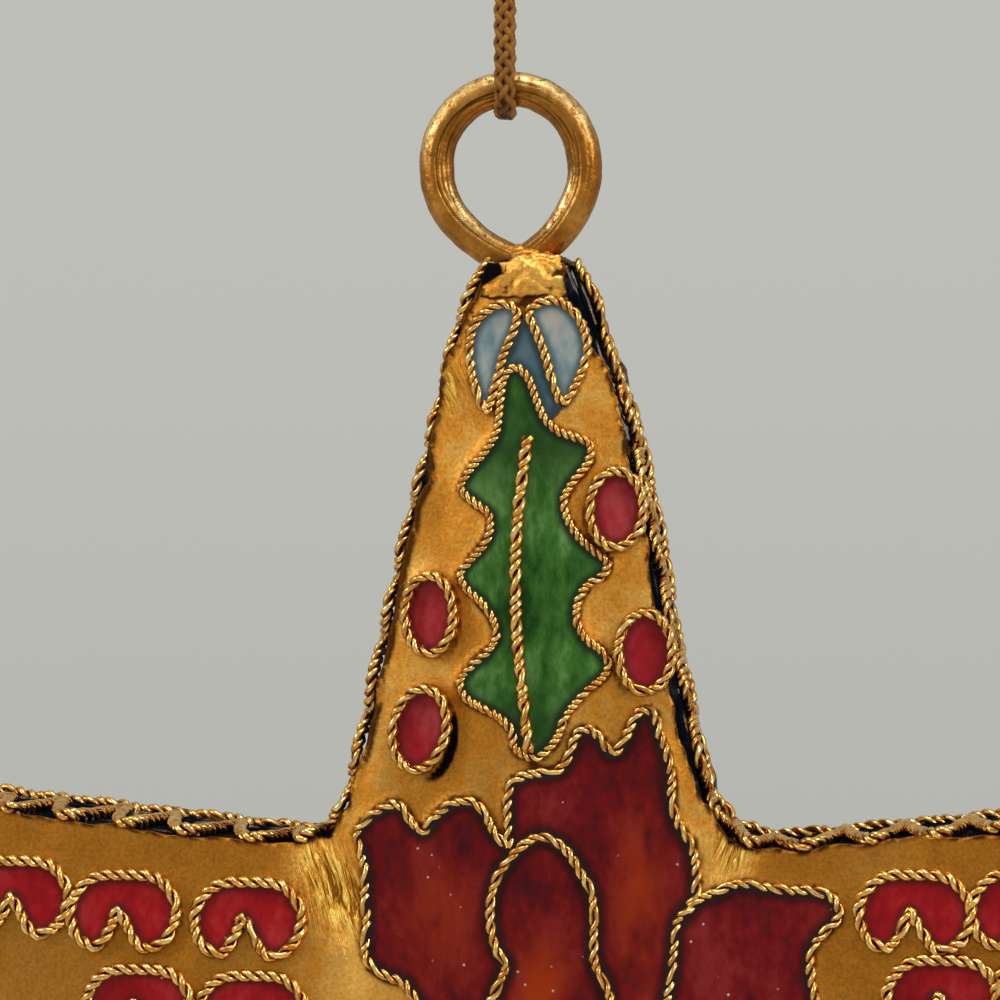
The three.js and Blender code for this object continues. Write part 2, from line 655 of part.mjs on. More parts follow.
// The cord: an eye over the hook, a knot, two strands and the bight under the ring's top wire.
const cordR = CORD_D / 2;
const eyePoints = [
  [-STRAND_TOP, -EYE_H], [-0.75, -EYE_H + 0.9], [-0.4 * EYE_W, -0.7 * EYE_H],
  [-0.5 * EYE_W, -0.42 * EYE_H], [-0.36 * EYE_W, -0.1 * EYE_H], [0, cordR],
];
const eyePath = [...eyePoints, ...eyePoints.slice(0, -1).reverse().map(([x, z]) => [-x, z])];
const eyeCurve = new THREE.CatmullRomCurve3(eyePath.map(([x, z]) => new THREE.Vector3(x, 0, z)));

const knotProfile = [
  [0, -KNOT_H / 2], [0.68 * KNOT_W / 2, -KNOT_H / 2], [KNOT_W / 2, -0.2 * KNOT_H],
  [KNOT_W / 2, 0.2 * KNOT_H], [0.68 * KNOT_W / 2, KNOT_H / 2], [0, KNOT_H / 2],
];
const knot = new THREE.LatheGeometry(knotProfile.map(([r, z]) => new THREE.Vector2(r, z)), 14);
knot.rotateX(Math.PI / 2);
knot.translate(0, 0, KNOT_TOP - KNOT_H / 2);

const bightR = RING_WIRE / 2 + cordR + BIGHT_CLEAR;
const strandCurve = new THREE.CatmullRomCurve3([
  new THREE.Vector3(0, -STRAND_TOP, KNOT_TOP - KNOT_H - CORD_GAP),
  new THREE.Vector3(0, -STRAND_TOP - 0.1, RING_TOP_Z + 0.7 * STRAND_L),
  new THREE.Vector3(0, -bightR + 0.15, RING_TOP_Z + 0.25 * STRAND_L),
  new THREE.Vector3(0, -bightR, RING_TOP_Z + CORD_GAP),
]);
const bightPoints = [];
for (let i = 0; i <= 8; i++) {
  const a = (Math.PI * i) / 8;
  bightPoints.push(new THREE.Vector3(0, -bightR * Math.cos(a), RING_TOP_Z - bightR * Math.sin(a)));
}

const cord = new THREE.Group();
piece(cord, 'cord_eye', rod(eyeCurve, cordR, 8, 22), braid);
piece(cord, 'cord_knot', knot, braid);
const doubled = new THREE.Group();
doubled.rotation.z = THREE.MathUtils.degToRad(CORD_TURN);
const strand = rod(strandCurve, cordR, 8, 7);
piece(doubled, 'cord_front_strand', strand, braid);
piece(doubled, 'cord_bight', rod(new THREE.CatmullRomCurve3(bightPoints), cordR, 8, 10), braid);
const behind = new THREE.Group();
behind.rotation.z = Math.PI;
piece(behind, 'cord_back_strand', strand, braid);
doubled.add(behind);
cord.add(doubled);
cord.position.x = RING_OVER;

const ornament = new THREE.Group();
ornament.add(star, cord);
ornament.position.x = -RING_OVER;

export default ornament;
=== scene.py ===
# %% [markdown]
# # A cloisonne star ornament
# The real object is a hollow star of gilt copper sheet. Twisted wire is laid on its faces as fences, glass
# powder is melted between them, and a wire ring on a braided cord carries it. The solids of the part come
# in first and stay where they are. Everything below is modelled in millimetres round the star's middle,
# and settled into the shared frame, in metres, when it is done.

# %% Load the solids and keep their box
import math

import bpy
import numpy as np
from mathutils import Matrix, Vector, kdtree, noise
from mathutils.geometry import delaunay_2d_cdt


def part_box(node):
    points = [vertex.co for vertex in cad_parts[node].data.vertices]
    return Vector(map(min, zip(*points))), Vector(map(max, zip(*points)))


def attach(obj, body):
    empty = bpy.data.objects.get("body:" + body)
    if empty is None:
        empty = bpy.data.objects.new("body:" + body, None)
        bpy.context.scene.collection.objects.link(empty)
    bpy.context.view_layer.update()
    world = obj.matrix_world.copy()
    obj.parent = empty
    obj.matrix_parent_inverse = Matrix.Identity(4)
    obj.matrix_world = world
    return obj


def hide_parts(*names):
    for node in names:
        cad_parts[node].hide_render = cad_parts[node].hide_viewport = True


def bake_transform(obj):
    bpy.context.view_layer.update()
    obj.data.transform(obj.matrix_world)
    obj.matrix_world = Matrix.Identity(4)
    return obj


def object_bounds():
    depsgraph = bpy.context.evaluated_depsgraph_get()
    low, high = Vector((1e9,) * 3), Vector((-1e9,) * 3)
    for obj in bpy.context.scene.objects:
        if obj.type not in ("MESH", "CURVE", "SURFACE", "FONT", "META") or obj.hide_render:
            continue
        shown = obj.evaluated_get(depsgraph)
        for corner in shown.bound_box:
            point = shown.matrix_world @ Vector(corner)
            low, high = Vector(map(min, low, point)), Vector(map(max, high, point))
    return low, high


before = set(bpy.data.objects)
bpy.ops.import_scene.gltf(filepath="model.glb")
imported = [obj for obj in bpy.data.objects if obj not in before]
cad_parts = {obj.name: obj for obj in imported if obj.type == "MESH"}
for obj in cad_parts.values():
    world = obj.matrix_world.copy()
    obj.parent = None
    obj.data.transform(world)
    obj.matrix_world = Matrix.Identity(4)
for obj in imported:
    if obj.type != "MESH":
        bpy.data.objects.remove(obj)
CAD_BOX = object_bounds()
MM = 0.001
TIP_R = 37.3
tip_low, tip_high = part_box("tip_cap")
STAR = Vector(((tip_low.x + tip_high.x) / 2, 0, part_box("front_plate")[1].z - TIP_R * MM))
print("solids", len(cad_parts), "star centre", [round(x, 5) for x in STAR])

# %% [markdown]
# ## The camera
# The photograph was taken from close by, a little from the right and almost level, and shows the top arm
# and the ring. A long lens at a short distance gives the same view, and Blender keeps it as an object
# that looks along its own -Z.

# %% Camera at the photograph's angle
AZIMUTH, ELEVATION = math.radians(7.5), math.radians(0.3)
DISTANCE = 0.15
VIEW_WIDTH = 0.0435
TARGET = STAR + Vector((-1.01, -5.0, 26.9)) * MM
back = Vector((
    math.sin(AZIMUTH) * math.cos(ELEVATION),
    -math.cos(AZIMUTH) * math.cos(ELEVATION),
    math.sin(ELEVATION),
))
bpy.ops.object.select_all(action="DESELECT")
bpy.ops.object.camera_add(location=TARGET + DISTANCE * back)
camera = bpy.context.object
camera.rotation_euler = back.to_track_quat("Z", "Y").to_euler()
camera.data.sensor_width = 36.0
camera.data.lens = camera.data.sensor_width * DISTANCE / VIEW_WIDTH
camera.data.clip_start = 0.005
bpy.context.scene.camera = camera
print("lens", round(camera.data.lens, 1))

# %% [markdown]
# ## Smooth lines from a few points
# Every wire and cord is a line through a handful of points. A spline runs through them, and is then cut
# at even steps, because a twist or a braid has to advance evenly along its line.

# %% Lines
def between(t, start, first, end, second):
    return ((end - t) * first + (t - start) * second) / (end - start)


def smooth_line(points, closed=False, step=0.1):
    """A centripetal spline through the points, cut at even steps."""
    p = np.array(points, float)
    if closed:
        p = np.vstack([p[-1], p, p[0], p[1]])
    else:
        p = np.vstack([2 * p[0] - p[1], p, 2 * p[-1] - p[-2]])
    knots = np.concatenate([[0], np.cumsum(np.linalg.norm(np.diff(p, axis=0), axis=1) ** 0.5)])
    pieces = []
    for i in range(1, len(p) - 2):
        t = np.linspace(knots[i], knots[i + 1], 40, endpoint=False)[:, None]
        near = list(zip(knots[i - 1:i + 3], p[i - 1:i + 3]))
        a = [between(t, *near[k], *near[k + 1]) for k in range(3)]
        k0, k1, k2, k3 = knots[i - 1:i + 3]
        pieces.append(between(t, k1, between(t, k0, a[0], k2, a[1]), k2, between(t, k1, a[1], k3, a[2])))
    pieces.append(p[-2:-1])
    return even_steps(np.vstack(pieces), closed, step)


def even_steps(line, closed, step):
    """The same line with its points at even distances. A closed one leaves out its last point."""
    run = np.concatenate([[0], np.cumsum(np.linalg.norm(np.diff(line, axis=0), axis=1))])
    count = max(6, int(round(run[-1] / step)))
    marks = np.linspace(0, run[-1], count + 1)
    if closed:
        marks = marks[:-1]
    return np.column_stack([np.interp(marks, run, line[:, k]) for k in range(line.shape[1])])


def directions(line, closed):
    """Unit vectors along a line."""
    if closed:
        along = np.roll(line, -1, axis=0) - np.roll(line, 1, axis=0)
    else:
        along = np.gradient(line, axis=0)
    return along / np.linalg.norm(along, axis=1)[:, None]


def length_of(line):
    return float(np.linalg.norm(np.diff(line, axis=0), axis=1).sum())


print("a loop of", len(smooth_line([(0, 0), (1, 0), (1, 1), (0, 1)], closed=True)), "points")

# %% [markdown]
# ## Tubes along lines
# A strand is a curve with a round bevel, which is how one draws a wire in Blender by hand. Many strands
# go into one curve object as splines of their own, and the object is then converted to a mesh.

# %% Strands
def deselect():
    if bpy.context.object and bpy.context.object.mode != "OBJECT":
        bpy.ops.object.mode_set(mode="OBJECT")
    bpy.ops.object.select_all(action="DESELECT")


def pick(*pieces):
    """Selects these pieces and makes the first one active."""
    deselect()
    for piece in pieces:
        piece.select_set(True)
    bpy.context.view_layer.objects.active = pieces[0]


def joined(name, pieces):
    pick(*pieces)
    if len(pieces) > 1:
        bpy.ops.object.join()
    bpy.context.object.name = name
    return bpy.context.object


def strands(name, lines, radius, sides=6):
    """One mesh with a round tube along each line. A line is (points, closed)."""
    curve = bpy.data.curves.new(name, "CURVE")
    curve.dimensions = "3D"
    curve.bevel_depth = radius
    curve.bevel_resolution = (sides - 4) // 2
    curve.use_fill_caps = True
    for points, closed in lines:
        spline = curve.splines.new("POLY")
        spline.points.add(len(points) - 1)
        spline.points.foreach_set("co", np.column_stack([points, np.ones(len(points))]).ravel())
        spline.use_cyclic_u = closed
    piece = bpy.data.objects.new(name, curve)
    bpy.context.collection.objects.link(piece)
    pick(piece)
    bpy.ops.object.convert(target="MESH")
    bpy.ops.object.shade_smooth()
    return bpy.context.object


print("strand helpers ready")

# %% [markdown]
# ## Shaping a mesh
# A hand-made thing has no even surface. The points of a mesh are read as one array, pushed about with bell
# curves, ramps and Blender's own smooth noise, which gives the same ripples on every run, and written back.
# Numbers such as the distance to a wire stay on the mesh, where a material can read them.

# %% Shaping helpers
def bell(x, middle=0.0, width=1.0):
    return np.exp(-(((x - middle) / width) ** 2))


def rise(x, low, high):
    """From 0 at low to 1 at high, and level beyond."""
    return np.clip((x - low) / (high - low), 0, 1)


def fade(distance, reach):
    """1 at an edge, less and less away from it."""
    return np.exp(-np.clip(distance, 0, 9) / reach)


def ripple(x, y, z):
    """Smooth noise at many points. Each of x, y and z is an array or one number."""
    return np.array([noise.noise(p) for p in np.column_stack(np.broadcast_arrays(x, y, z)).tolist()])


def points_of(piece):
    co = np.empty(len(piece.data.vertices) * 3, np.float32)
    piece.data.vertices.foreach_get("co", co)
    return co.reshape(-1, 3).astype(float)


def move_points(piece, points):
    piece.data.vertices.foreach_set("co", np.asarray(points, np.float32).ravel())
    piece.data.update()


def tree_of(points):
    tree = kdtree.KDTree(len(points))
    for i, p in enumerate(points):
        tree.insert(p, i)
    tree.balance()
    return tree


def distances(points, tree):
    return np.array([tree.find(p)[2] for p in points])


def write_value(piece, name, values):
    """Keeps a number at each vertex, for the material to read."""
    layer = piece.data.attributes.new(name, "FLOAT", "POINT")
    layer.data.foreach_set("value", np.asarray(values, np.float32))


def face_out(piece, way=None):
    """Turns all faces outward. On an open sheet, way is where most of them should look."""
    pick(piece)
    bpy.ops.object.mode_set(mode="EDIT")
    bpy.ops.mesh.select_all(action="SELECT")
    bpy.ops.mesh.normals_make_consistent(inside=False)
    bpy.ops.object.mode_set(mode="OBJECT")
    if way and sum(f.normal.dot(Vector(way)) for f in piece.data.polygons) < 0:
        bpy.ops.object.mode_set(mode="EDIT")
        bpy.ops.mesh.flip_normals()
        bpy.ops.object.mode_set(mode="OBJECT")


def modify(piece, kind, **settings):
    """Adds a modifier, sets it and applies it."""
    pick(piece)
    made = piece.modifiers.new(kind, kind)
    for key, value in settings.items():
        setattr(made, key, value)
    bpy.ops.object.modifier_apply(modifier=made.name)


def thicken(piece, depth):
    """Solidify gives a sheet its depth, behind the face that is seen."""
    pick(piece)
    bpy.ops.object.shade_smooth()
    modify(piece, "SOLIDIFY", thickness=depth, offset=-1)


def bake_place(piece, at, turn=(0, 0, 0), scale=(1, 1, 1)):
    """Moves, turns and scales a piece, and bakes that into its mesh."""
    pick(piece)
    piece.location, piece.rotation_euler, piece.scale = at, turn, scale
    bpy.ops.object.transform_apply(location=True, rotation=True, scale=True)


def primitive(name, add, at=(0, 0, 0), turn=(0, 0, 0), scale=(1, 1, 1), **shape):
    """One of Blender's primitives, with its place baked in."""
    deselect()
    add(**shape)
    piece = bpy.context.object
    piece.name = name
    bake_place(piece, at, turn, scale)
    return piece


def settle(piece, centre, body=None, stands_for=(), turn=0.0):
    """Millimetres round a point become metres in the shared frame."""
    bake_place(piece, centre, (0, 0, turn), (MM, MM, MM))
    if stands_for:
        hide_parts(*stands_for)
    if body:
        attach(piece, body)


print("shaping helpers ready")

# %% [markdown]
# ## Small helpers for node materials
# Every finish below is a node tree on Object coordinates, or on numbers that the mesh carries. Each helper
# adds one node, sets its plain values and links the rest, so that a finish reads as a short list.

# %% Material helpers
def is_socket(value):
    return isinstance(value, bpy.types.NodeSocket)


def plug(node, inputs):
    """Sets a node's inputs to plain values, or links them to sockets."""
    for key, value in inputs.items():
        socket = node.inputs[key]
        if is_socket(value):
            node.id_data.links.new(value, socket)
        else:
            socket.default_value = (*value, 1) if socket.type == "RGBA" else value


def add_node(tree, kind, inputs, **settings):
    made = tree.nodes.new(kind)
    for key, value in settings.items():
        setattr(made, key, value)
    plug(made, inputs)
    return made


def finish_tree(name):
    material = bpy.data.materials.new(name)
    material.use_nodes = True
    return material, material.node_tree, material.node_tree.nodes["Principled BSDF"]


def object_place(tree, scale=(1, 1, 1)):
    place = tree.nodes.new("ShaderNodeTexCoord").outputs["Object"]
    return add_node(tree, "ShaderNodeMapping", {"Vector": place, "Scale": scale}).outputs[0]


def clouds(place, scale, detail=4.0, rough=0.55, twist=0.0):
    return add_node(place.id_data, "ShaderNodeTexNoise", {
        "Vector": place, "Scale": scale, "Detail": detail, "Roughness": rough, "Distortion": twist,
    }).outputs["Fac"]


def ramp(value, *stops):
    """A colour ramp. A stop is (place, (r, g, b))."""
    made = add_node(value.id_data, "ShaderNodeValToRGB", {"Fac": value})
    steps = made.color_ramp.elements
    while len(steps) < len(stops):
        steps.new(0.5)
    for step, (place, colour) in zip(steps, stops):
        step.position = place
        step.color = (*colour, 1)
    return made.outputs["Color"]


def stretch(value, low, high, to_low=0.0, to_high=1.0):
    return add_node(value.id_data, "ShaderNodeMapRange", {
        "Value": value, "From Min": low, "From Max": high, "To Min": to_low, "To Max": to_high,
    }, interpolation_type="SMOOTHSTEP").outputs[0]


def mix(share, first, second, blend="MIX"):
    """The first colour with a share of the second."""
    tree = next(value.id_data for value in (share, first, second) if is_socket(value))
    inputs = {0: share, 6: first, 7: second}
    return add_node(tree, "ShaderNodeMix", inputs, data_type="RGBA", blend_type=blend).outputs[2]


def maths(operation, *values):
    inputs = dict(enumerate(values))
    return add_node(values[0].id_data, "ShaderNodeMath", inputs, operation=operation).outputs[0]


def kept(tree, name):
    return add_node(tree, "ShaderNodeAttribute", {}, attribute_name=name).outputs["Fac"]


def bump(relief, strength, distance, under=None):
    inputs = {"Height": relief, "Strength": strength, "Distance": distance}
    if under is not None:
        inputs["Normal"] = under
    return add_node(relief.id_data, "ShaderNodeBump", inputs).outputs[0]


def dress(piece, material):
    piece.data.materials.clear()
    piece.data.materials.append(material)


print("material helpers ready")

# %% [markdown]
# ## The braided cord's finish
# The cord is spun from gold-brown yarn with a soft shine. Long fine fibres would need a texture along
# each yarn; noise that is fine in all directions, broken by darker blotches, reads the same at this size.

# %% Cord finish
def cord_finish():
    material, tree, shader = finish_tree("braided_cord")
    place = object_place(tree)
    blotch = clouds(place, 1400.0, 3.0)
    fibre = clouds(place, 9000.0, 2.0)
    colour = ramp(blotch, (0.32, (0.10, 0.032, 0.003)), (0.68, (0.30, 0.108, 0.010)))
    colour = mix(maths("MULTIPLY", fibre, 0.5), colour, (0.42, 0.20, 0.038))
    # Painted shade: the yarns darken toward the cord's core, in the gaps of the braid.
    colour = mix(stretch(kept(tree, "deep"), 0.55, 0.9, 0.9, 0.0), colour, (0.035, 0.011, 0.002))
    plug(shader, {
        "Base Color": colour, "Roughness": 0.4, "Specular IOR Level": 0.16,
        "Normal": bump(fibre, 0.5, 0.00003),
    })
    return material


CORD_FINISH = cord_finish()
print(CORD_FINISH.name)

# %% [markdown]
# ## The cord
# A round braid is made of yarns that wind both ways and pass over and under each other. Bump could fake
# it, but the cord is seen from close by, so each yarn is a tube that weaves in and out round the cord's
# line, with a plain core inside. The line itself repeats the route of the solids.

# %% Braid a cord along a line
CORD_D = 1.0
CORD_STEP = 0.055
YARN, WEAVE = 0.16, 0.05
YARNS_EACH_WAY = 4
BRAID_PITCH = 2.9


def steady_frame(along, first):
    """Two directions across a line that turn with it and never spin round it."""
    side = np.empty_like(along)
    side[0] = np.array(first) - along[0] * (along[0] @ np.array(first))
    for i in range(1, len(along)):
        side[i] = side[i - 1] - along[i] * (along[i] @ side[i - 1])
    side /= np.linalg.norm(side, axis=1)[:, None]
    return side, np.cross(along, side)


def braided(name, line, first, pressed=None):
    """A braid along a line of points in millimetres. Pressed is how flat it is at each point."""
    line = even_steps(np.array(line, float), False, CORD_STEP)
    side, front = steady_frame(directions(line, False), first)
    flat = np.zeros(len(line)) if pressed is None else pressed(line)
    wide, thin = 1 + 0.12 * flat, 1 - 0.42 * flat
    run = np.arange(len(line)) * CORD_STEP
    middle = CORD_D / 2 - YARN - WEAVE
    lines = []
    for way in (1, -1):
        for k in range(YARNS_EACH_WAY):
            turn = math.tau * (way * run / BRAID_PITCH + k / YARNS_EACH_WAY)
            out = middle + way * WEAVE * np.cos(YARNS_EACH_WAY * math.tau * run / BRAID_PITCH)
            x = (out * wide * np.cos(turn))[:, None] * side
            y = (out * thin * np.sin(turn))[:, None] * front
            lines.append((line + x + y, False))
    core = strands(name + "_core", [(line[::4], False)], middle * 0.98, 12)
    cord = joined(name, [strands(name, lines, YARN), core])
    # How deep in the braid each point lies; the cord finish paints shade from it.
    write_value(cord, "deep", distances(points_of(cord), tree_of(line)) / (CORD_D / 2))
    dress(cord, CORD_FINISH)
    return cord, line


RING_TOP_Z = -33.0
BIGHT_R, BIGHT_DROP = 1.33, 1.06
TURN, CORD_OVER = math.radians(6), -0.22
STRAND = [(0.4, -16.6), (0.55, -18.0), (0.65, -22.5), (1.15, -29.25), (1.33, -32.5)]
down = [(-out, z) for out, z in STRAND]
bend = [
    (-BIGHT_R * math.cos(a), RING_TOP_Z - BIGHT_DROP * math.sin(a))
    for a in np.linspace(0, math.pi, 9)
]
up = [(out, z) for out, z in reversed(STRAND)]
loop_line = smooth_line([
    (CORD_OVER * min(1.0, (-16.6 - z) / 8) - y * math.sin(TURN), y * math.cos(TURN), z)
    for y, z in down + bend + up
], step=CORD_STEP)


def under_ring(line):
    return bell(line[:, 2], RING_TOP_Z - BIGHT_DROP, 0.7)


cord_loop, loop_line = braided("cord_loop", loop_line, (1, 0, 0), under_ring)
print("loop", round(length_of(loop_line), 2), "mm", len(cord_loop.data.polygons), "faces")

# %% [markdown]
# ## The eye and the knot
# Above the picture the two ends are tied together. The knot is three tight turns round both strands,
# and the eye above it goes over a hook. Both are the same braid along other lines.

# %% Eye and knot
eye_half = [(-0.4, -15.6), (-0.55, -14.0), (-0.75, -13.1), (-2.8, -9.8), (-3.5, -5.88), (-2.52, -1.4)]
eye_points = eye_half + [(0.0, CORD_D / 2)] + [(-x, z) for x, z in reversed(eye_half)]
eye_line = smooth_line([(x, 0.0, z) for x, z in eye_points], step=CORD_STEP)
cord_eye, eye_line = braided("cord_eye_braid", eye_line, (0, 1, 0))
KNOT_R, KNOT_START, KNOT_TURNS = 1.12, -1.2, 3.1 * math.tau
coil = [(0.35, -1.2, -18.9), (0.5, -1.25, -18.3)]
for a in np.linspace(KNOT_START, KNOT_START + KNOT_TURNS, 40):
    climb = (a - KNOT_START) / KNOT_TURNS
    coil.append((KNOT_R * math.cos(a), KNOT_R * math.sin(a), -17.35 + 2.75 * climb))
coil.append((0.45, 0.35, -14.4))
cord_knot, knot_line = braided("cord_knot_braid", smooth_line(coil, step=CORD_STEP), (1, 0, 0))
print("eye", round(length_of(eye_line), 2), "mm, knot", round(length_of(knot_line), 2), "mm")

# %% Settle the cords; the eye and the knot join the cord_top body
ORIGIN = Vector((0, 0, 0))
settle(cord_loop, ORIGIN, stands_for=("cord_front_strand", "cord_back_strand", "cord_bight"))
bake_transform(cord_loop)
settle(cord_eye, ORIGIN, "cord_top", ("cord_eye",))
settle(cord_knot, ORIGIN, "cord_top", ("cord_knot",))

# %% [markdown]
# ## The embossed face
# Each face is pressed so that a ridge runs along every arm and a valley lies between two arms. One height
# function gives that shape, and every wire, cell and plate on the face takes its height from it.

# %% Height of the face
ARMS = 5
TIP_HALF, NOTCH_R = 1.7, 14.0
SHOULDER_HALF, SHOULDER_R = 4.3, 30.0
RIM_Y = 4.0
MARK_OVER, MARK_UP = 0.29, 1.3
SLOPE = 0.215
RIDGE_ROUND, VALLEY_ROUND = 1.0, 0.03
SECTOR = math.tau / ARMS
HALF = SECTOR / 2
LEAN = math.atan2(NOTCH_R * math.sin(HALF) - SHOULDER_HALF, SHOULDER_R - NOTCH_R * math.cos(HALF))
TIP_LEAN = math.atan2(SHOULDER_HALF - TIP_HALF, TIP_R - SHOULDER_R)


def from_walls(across, along):
    """How far a point of an arm lies in from the arm's wall, which bends at the shoulder."""
    wall = (SHOULDER_HALF - across) * math.cos(LEAN) + (SHOULDER_R - along) * math.sin(LEAN)
    tip = (TIP_HALF - across) * math.cos(TIP_LEAN) + (TIP_R - along) * math.sin(TIP_LEAN)
    return np.minimum(wall, tip)


def height(u, v):
    """How far the face stands above the plane of its rim, with soft ridges and valleys."""
    facets = []
    for arm in range(ARMS):
        c, s = math.cos(arm * SECTOR), math.sin(arm * SECTOR)
        along = u * s + v * c
        across = np.sqrt((u * c - v * s) ** 2 + RIDGE_ROUND ** 2)
        facets.append(np.where(along > -1, SLOPE * from_walls(across, along), -9.0))
    facets = np.array(facets)
    top = facets.max(axis=0)
    return top + VALLEY_ROUND * np.log(np.exp((facets - top) / VALLEY_ROUND).sum(axis=0))


def on_face(flat, above):
    """Points of the drawing, set on the pressed face or some way above it."""
    u, v = flat[:, 0], flat[:, 1]
    return np.column_stack([u, -(RIM_Y + height(u, v) + above), v])


def turned(points, arm):
    """Points on the top arm, carried round to another arm."""
    c, s = math.cos(arm * SECTOR), math.sin(arm * SECTOR)
    return [(u * c + v * s, v * c - u * s) for u, v in points]


def raised(points):
    """The design was read from a mark a little above and beside the star's middle."""
    return [(u + MARK_OVER, v + MARK_UP) for u, v in points]


print("ridge at the middle of an arm", round(float(height(np.array(0.0), np.array(18.0))), 2), "mm")

# %% [markdown]
# ## The design on the face
# The outlines are drawn as a maker bends wire: a few points each, read off the top arm that the picture
# shows. The leaf, berries and drops repeat on three arms, the clouds fill the two side arms, and the
# lower petals repeat the upper ones.

# %% Leaf, berries and drops
LEAF = raised([
    (-0.70, 31.39), (-1.15, 30.96), (-1.32, 29.9), (-1.52, 28.48), (-2.04, 27.65), (-2.74, 26.83),
    (-3.09, 26.13), (-2.5, 25.52), (-1.83, 25.02), (-1.74, 24.26), (-2.0, 23.65), (-2.7, 22.89),
    (-3.09, 22.39), (-2.89, 21.83), (-2.11, 21.13), (-1.52, 20.26), (-1.43, 19.7), (-1.83, 19.0),
    (-2.5, 18.43), (-3.05, 17.7), (-2.89, 17.07), (-2.11, 16.57), (-1.35, 16.19), (-0.74, 15.61),
    (-0.57, 14.83), (0.3, 14.43), (1.17, 15.22), (1.57, 16.17), (2.35, 17.17), (3.22, 17.96),
    (3.42, 18.43), (3.13, 19.0), (2.43, 19.59), (2.06, 20.26), (2.06, 21.04), (2.43, 21.83),
    (3.22, 22.39), (3.33, 22.89), (2.74, 23.39), (2.06, 24.04), (1.57, 24.91), (1.48, 25.7),
    (1.87, 26.39), (2.55, 27.35), (2.57, 28.02), (1.91, 28.32), (1.17, 28.61), (0.65, 29.09),
    (0.26, 29.96), (-0.17, 31.0),
])
VEIN = raised([(-0.09, 28.3), (-0.52, 24.5), (-0.57, 21.9), (-0.48, 19.5), (-0.22, 17.07), (0.03, 14.75)])
DROP_LEFT = raised([
    (-1.15, 34.17), (-2.1, 33.75), (-2.57, 33.13), (-2.74, 32.22), (-2.57, 30.96), (-1.96, 29.52),
    (-1.52, 30.72), (-1.15, 32.07), (-0.70, 33.13), (-0.62, 33.80),
])
DROP_RIGHT = raised([
    (0.1, 34.05), (1.02, 34.3), (1.78, 33.85), (2.30, 32.96), (2.43, 32.07), (2.07, 30.87),
    (1.39, 29.83), (0.96, 30.72), (0.57, 32.07), (0.13, 33.13), (-0.1, 33.70),
])
WEDGE = raised([
    (-0.35, 33.5), (-0.95, 32.3), (-1.4, 31.0), (-1.0, 31.0), (-0.7, 31.39), (-0.17, 31.0),
    (0.26, 29.96), (0.65, 29.09), (1.3, 29.75), (0.9, 30.8), (0.5, 32.1), (0.0, 33.3),
])
BERRIES = [
    ((3.75, 25.2), (1.15, 1.65), 0), ((5.0, 19.0), (1.15, 1.7), 0),
    ((-4.45, 20.6), (1.1, 1.7), 0), ((-4.85, 15.6), (1.2, 1.8), 12),
]
HOLLY_ARMS = (0, 2, 3)


def ellipse(middle, half, tilt=0.0, count=14):
    lean = math.radians(tilt)
    points = []
    for a in np.linspace(0, math.tau, count, endpoint=False):
        x, y = half[0] * math.cos(a), half[1] * math.sin(a)
        points.append((
            middle[0] + x * math.cos(lean) + y * math.sin(lean),
            middle[1] + y * math.cos(lean) - x * math.sin(lean),
        ))
    return points


BERRY_LOOPS = [raised(ellipse(*berry)) for berry in BERRIES]
print("leaf outline", len(LEAF), "points,", len(BERRY_LOOPS), "berries")

# %% Flower and clouds
PETAL_A = raised([
    (-0.83, 10.52), (-1.48, 11.17), (-1.93, 12.0), (-2.48, 12.48), (-3.41, 12.37), (-4.15, 11.78),
    (-4.67, 11.15), (-5.22, 11.48), (-5.83, 12.26), (-6.57, 12.09), (-7.75, 10.95), (-7.62, 10.3),
    (-7.36, 9.26), (-7.36, 8.22), (-7.22, 6.96), (-7.22, 5.57), (-6.35, 4.83), (-5.52, 4.52),
    (-5.09, 4.0), (-3.4, 2.2), (-1.65, 0.2),
])
PETAL_B = raised([
    (-0.83, 10.52), (-0.87, 11.52), (-0.91, 12.65), (-0.65, 13.41), (0.13, 13.74), (1.24, 13.87),
    (1.68, 14.41), (2.13, 15.52), (2.68, 15.63), (3.13, 15.13), (3.57, 14.65), (4.0, 14.96),
    (4.46, 15.96), (4.91, 16.52), (5.35, 16.3), (5.57, 15.52), (5.91, 14.65), (6.13, 13.52),
    (6.13, 12.52), (6.43, 11.52), (6.91, 10.74), (7.13, 9.96), (7.22, 9.09), (7.13, 8.3),
    (6.67, 7.74), (6.35, 7.09), (6.3, 6.3), (6.13, 4.65), (5.91, 3.83), (4.4, 2.3), (2.8, 0.6),
])
PETAL_C = raised([
    (-1.3, 1.2), (-1.7, 3.4), (-1.13, 4.87), (-0.91, 5.52), (-1.3, 6.09), (-1.59, 7.09),
    (-1.59, 8.3), (-1.3, 9.3), (-0.76, 10.09), (-0.22, 10.65), (0.48, 11.04), (1.13, 10.87),
    (1.78, 10.3), (2.24, 9.52), (2.7, 8.74), (2.85, 7.74), (2.85, 6.65), (2.91, 5.52),
    (3.35, 4.65), (3.6, 3.6), (2.8, 2.6), (1.9, 1.8),
])
PETAL_D = raised([
    (6.72, 7.6), (7.35, 8.3), (8.13, 8.65), (9.0, 8.98), (10.13, 8.87), (11.22, 8.74),
    (12.22, 8.74), (13.11, 8.43), (13.43, 7.74), (12.78, 7.0), (12.22, 6.22), (12.22, 5.0),
    (12.35, 3.83), (9.5, 1.2), (6.5, -0.1), (2.8, -0.3),
])
MIDDLE = (0.6 + MARK_OVER, MARK_UP)
MIDDLE_R = 2.3
CLOUD = [
    (0, 1.65), (-1.5, 1.45), (-2.35, 0.3), (-2.05, -1.0), (-1.15, -1.45), (-0.55, -0.75), (-0.2, 0.1),
    (0.25, -0.6), (0.95, -1.5), (2.0, -1.1), (2.4, 0.3), (1.55, 1.45),
]
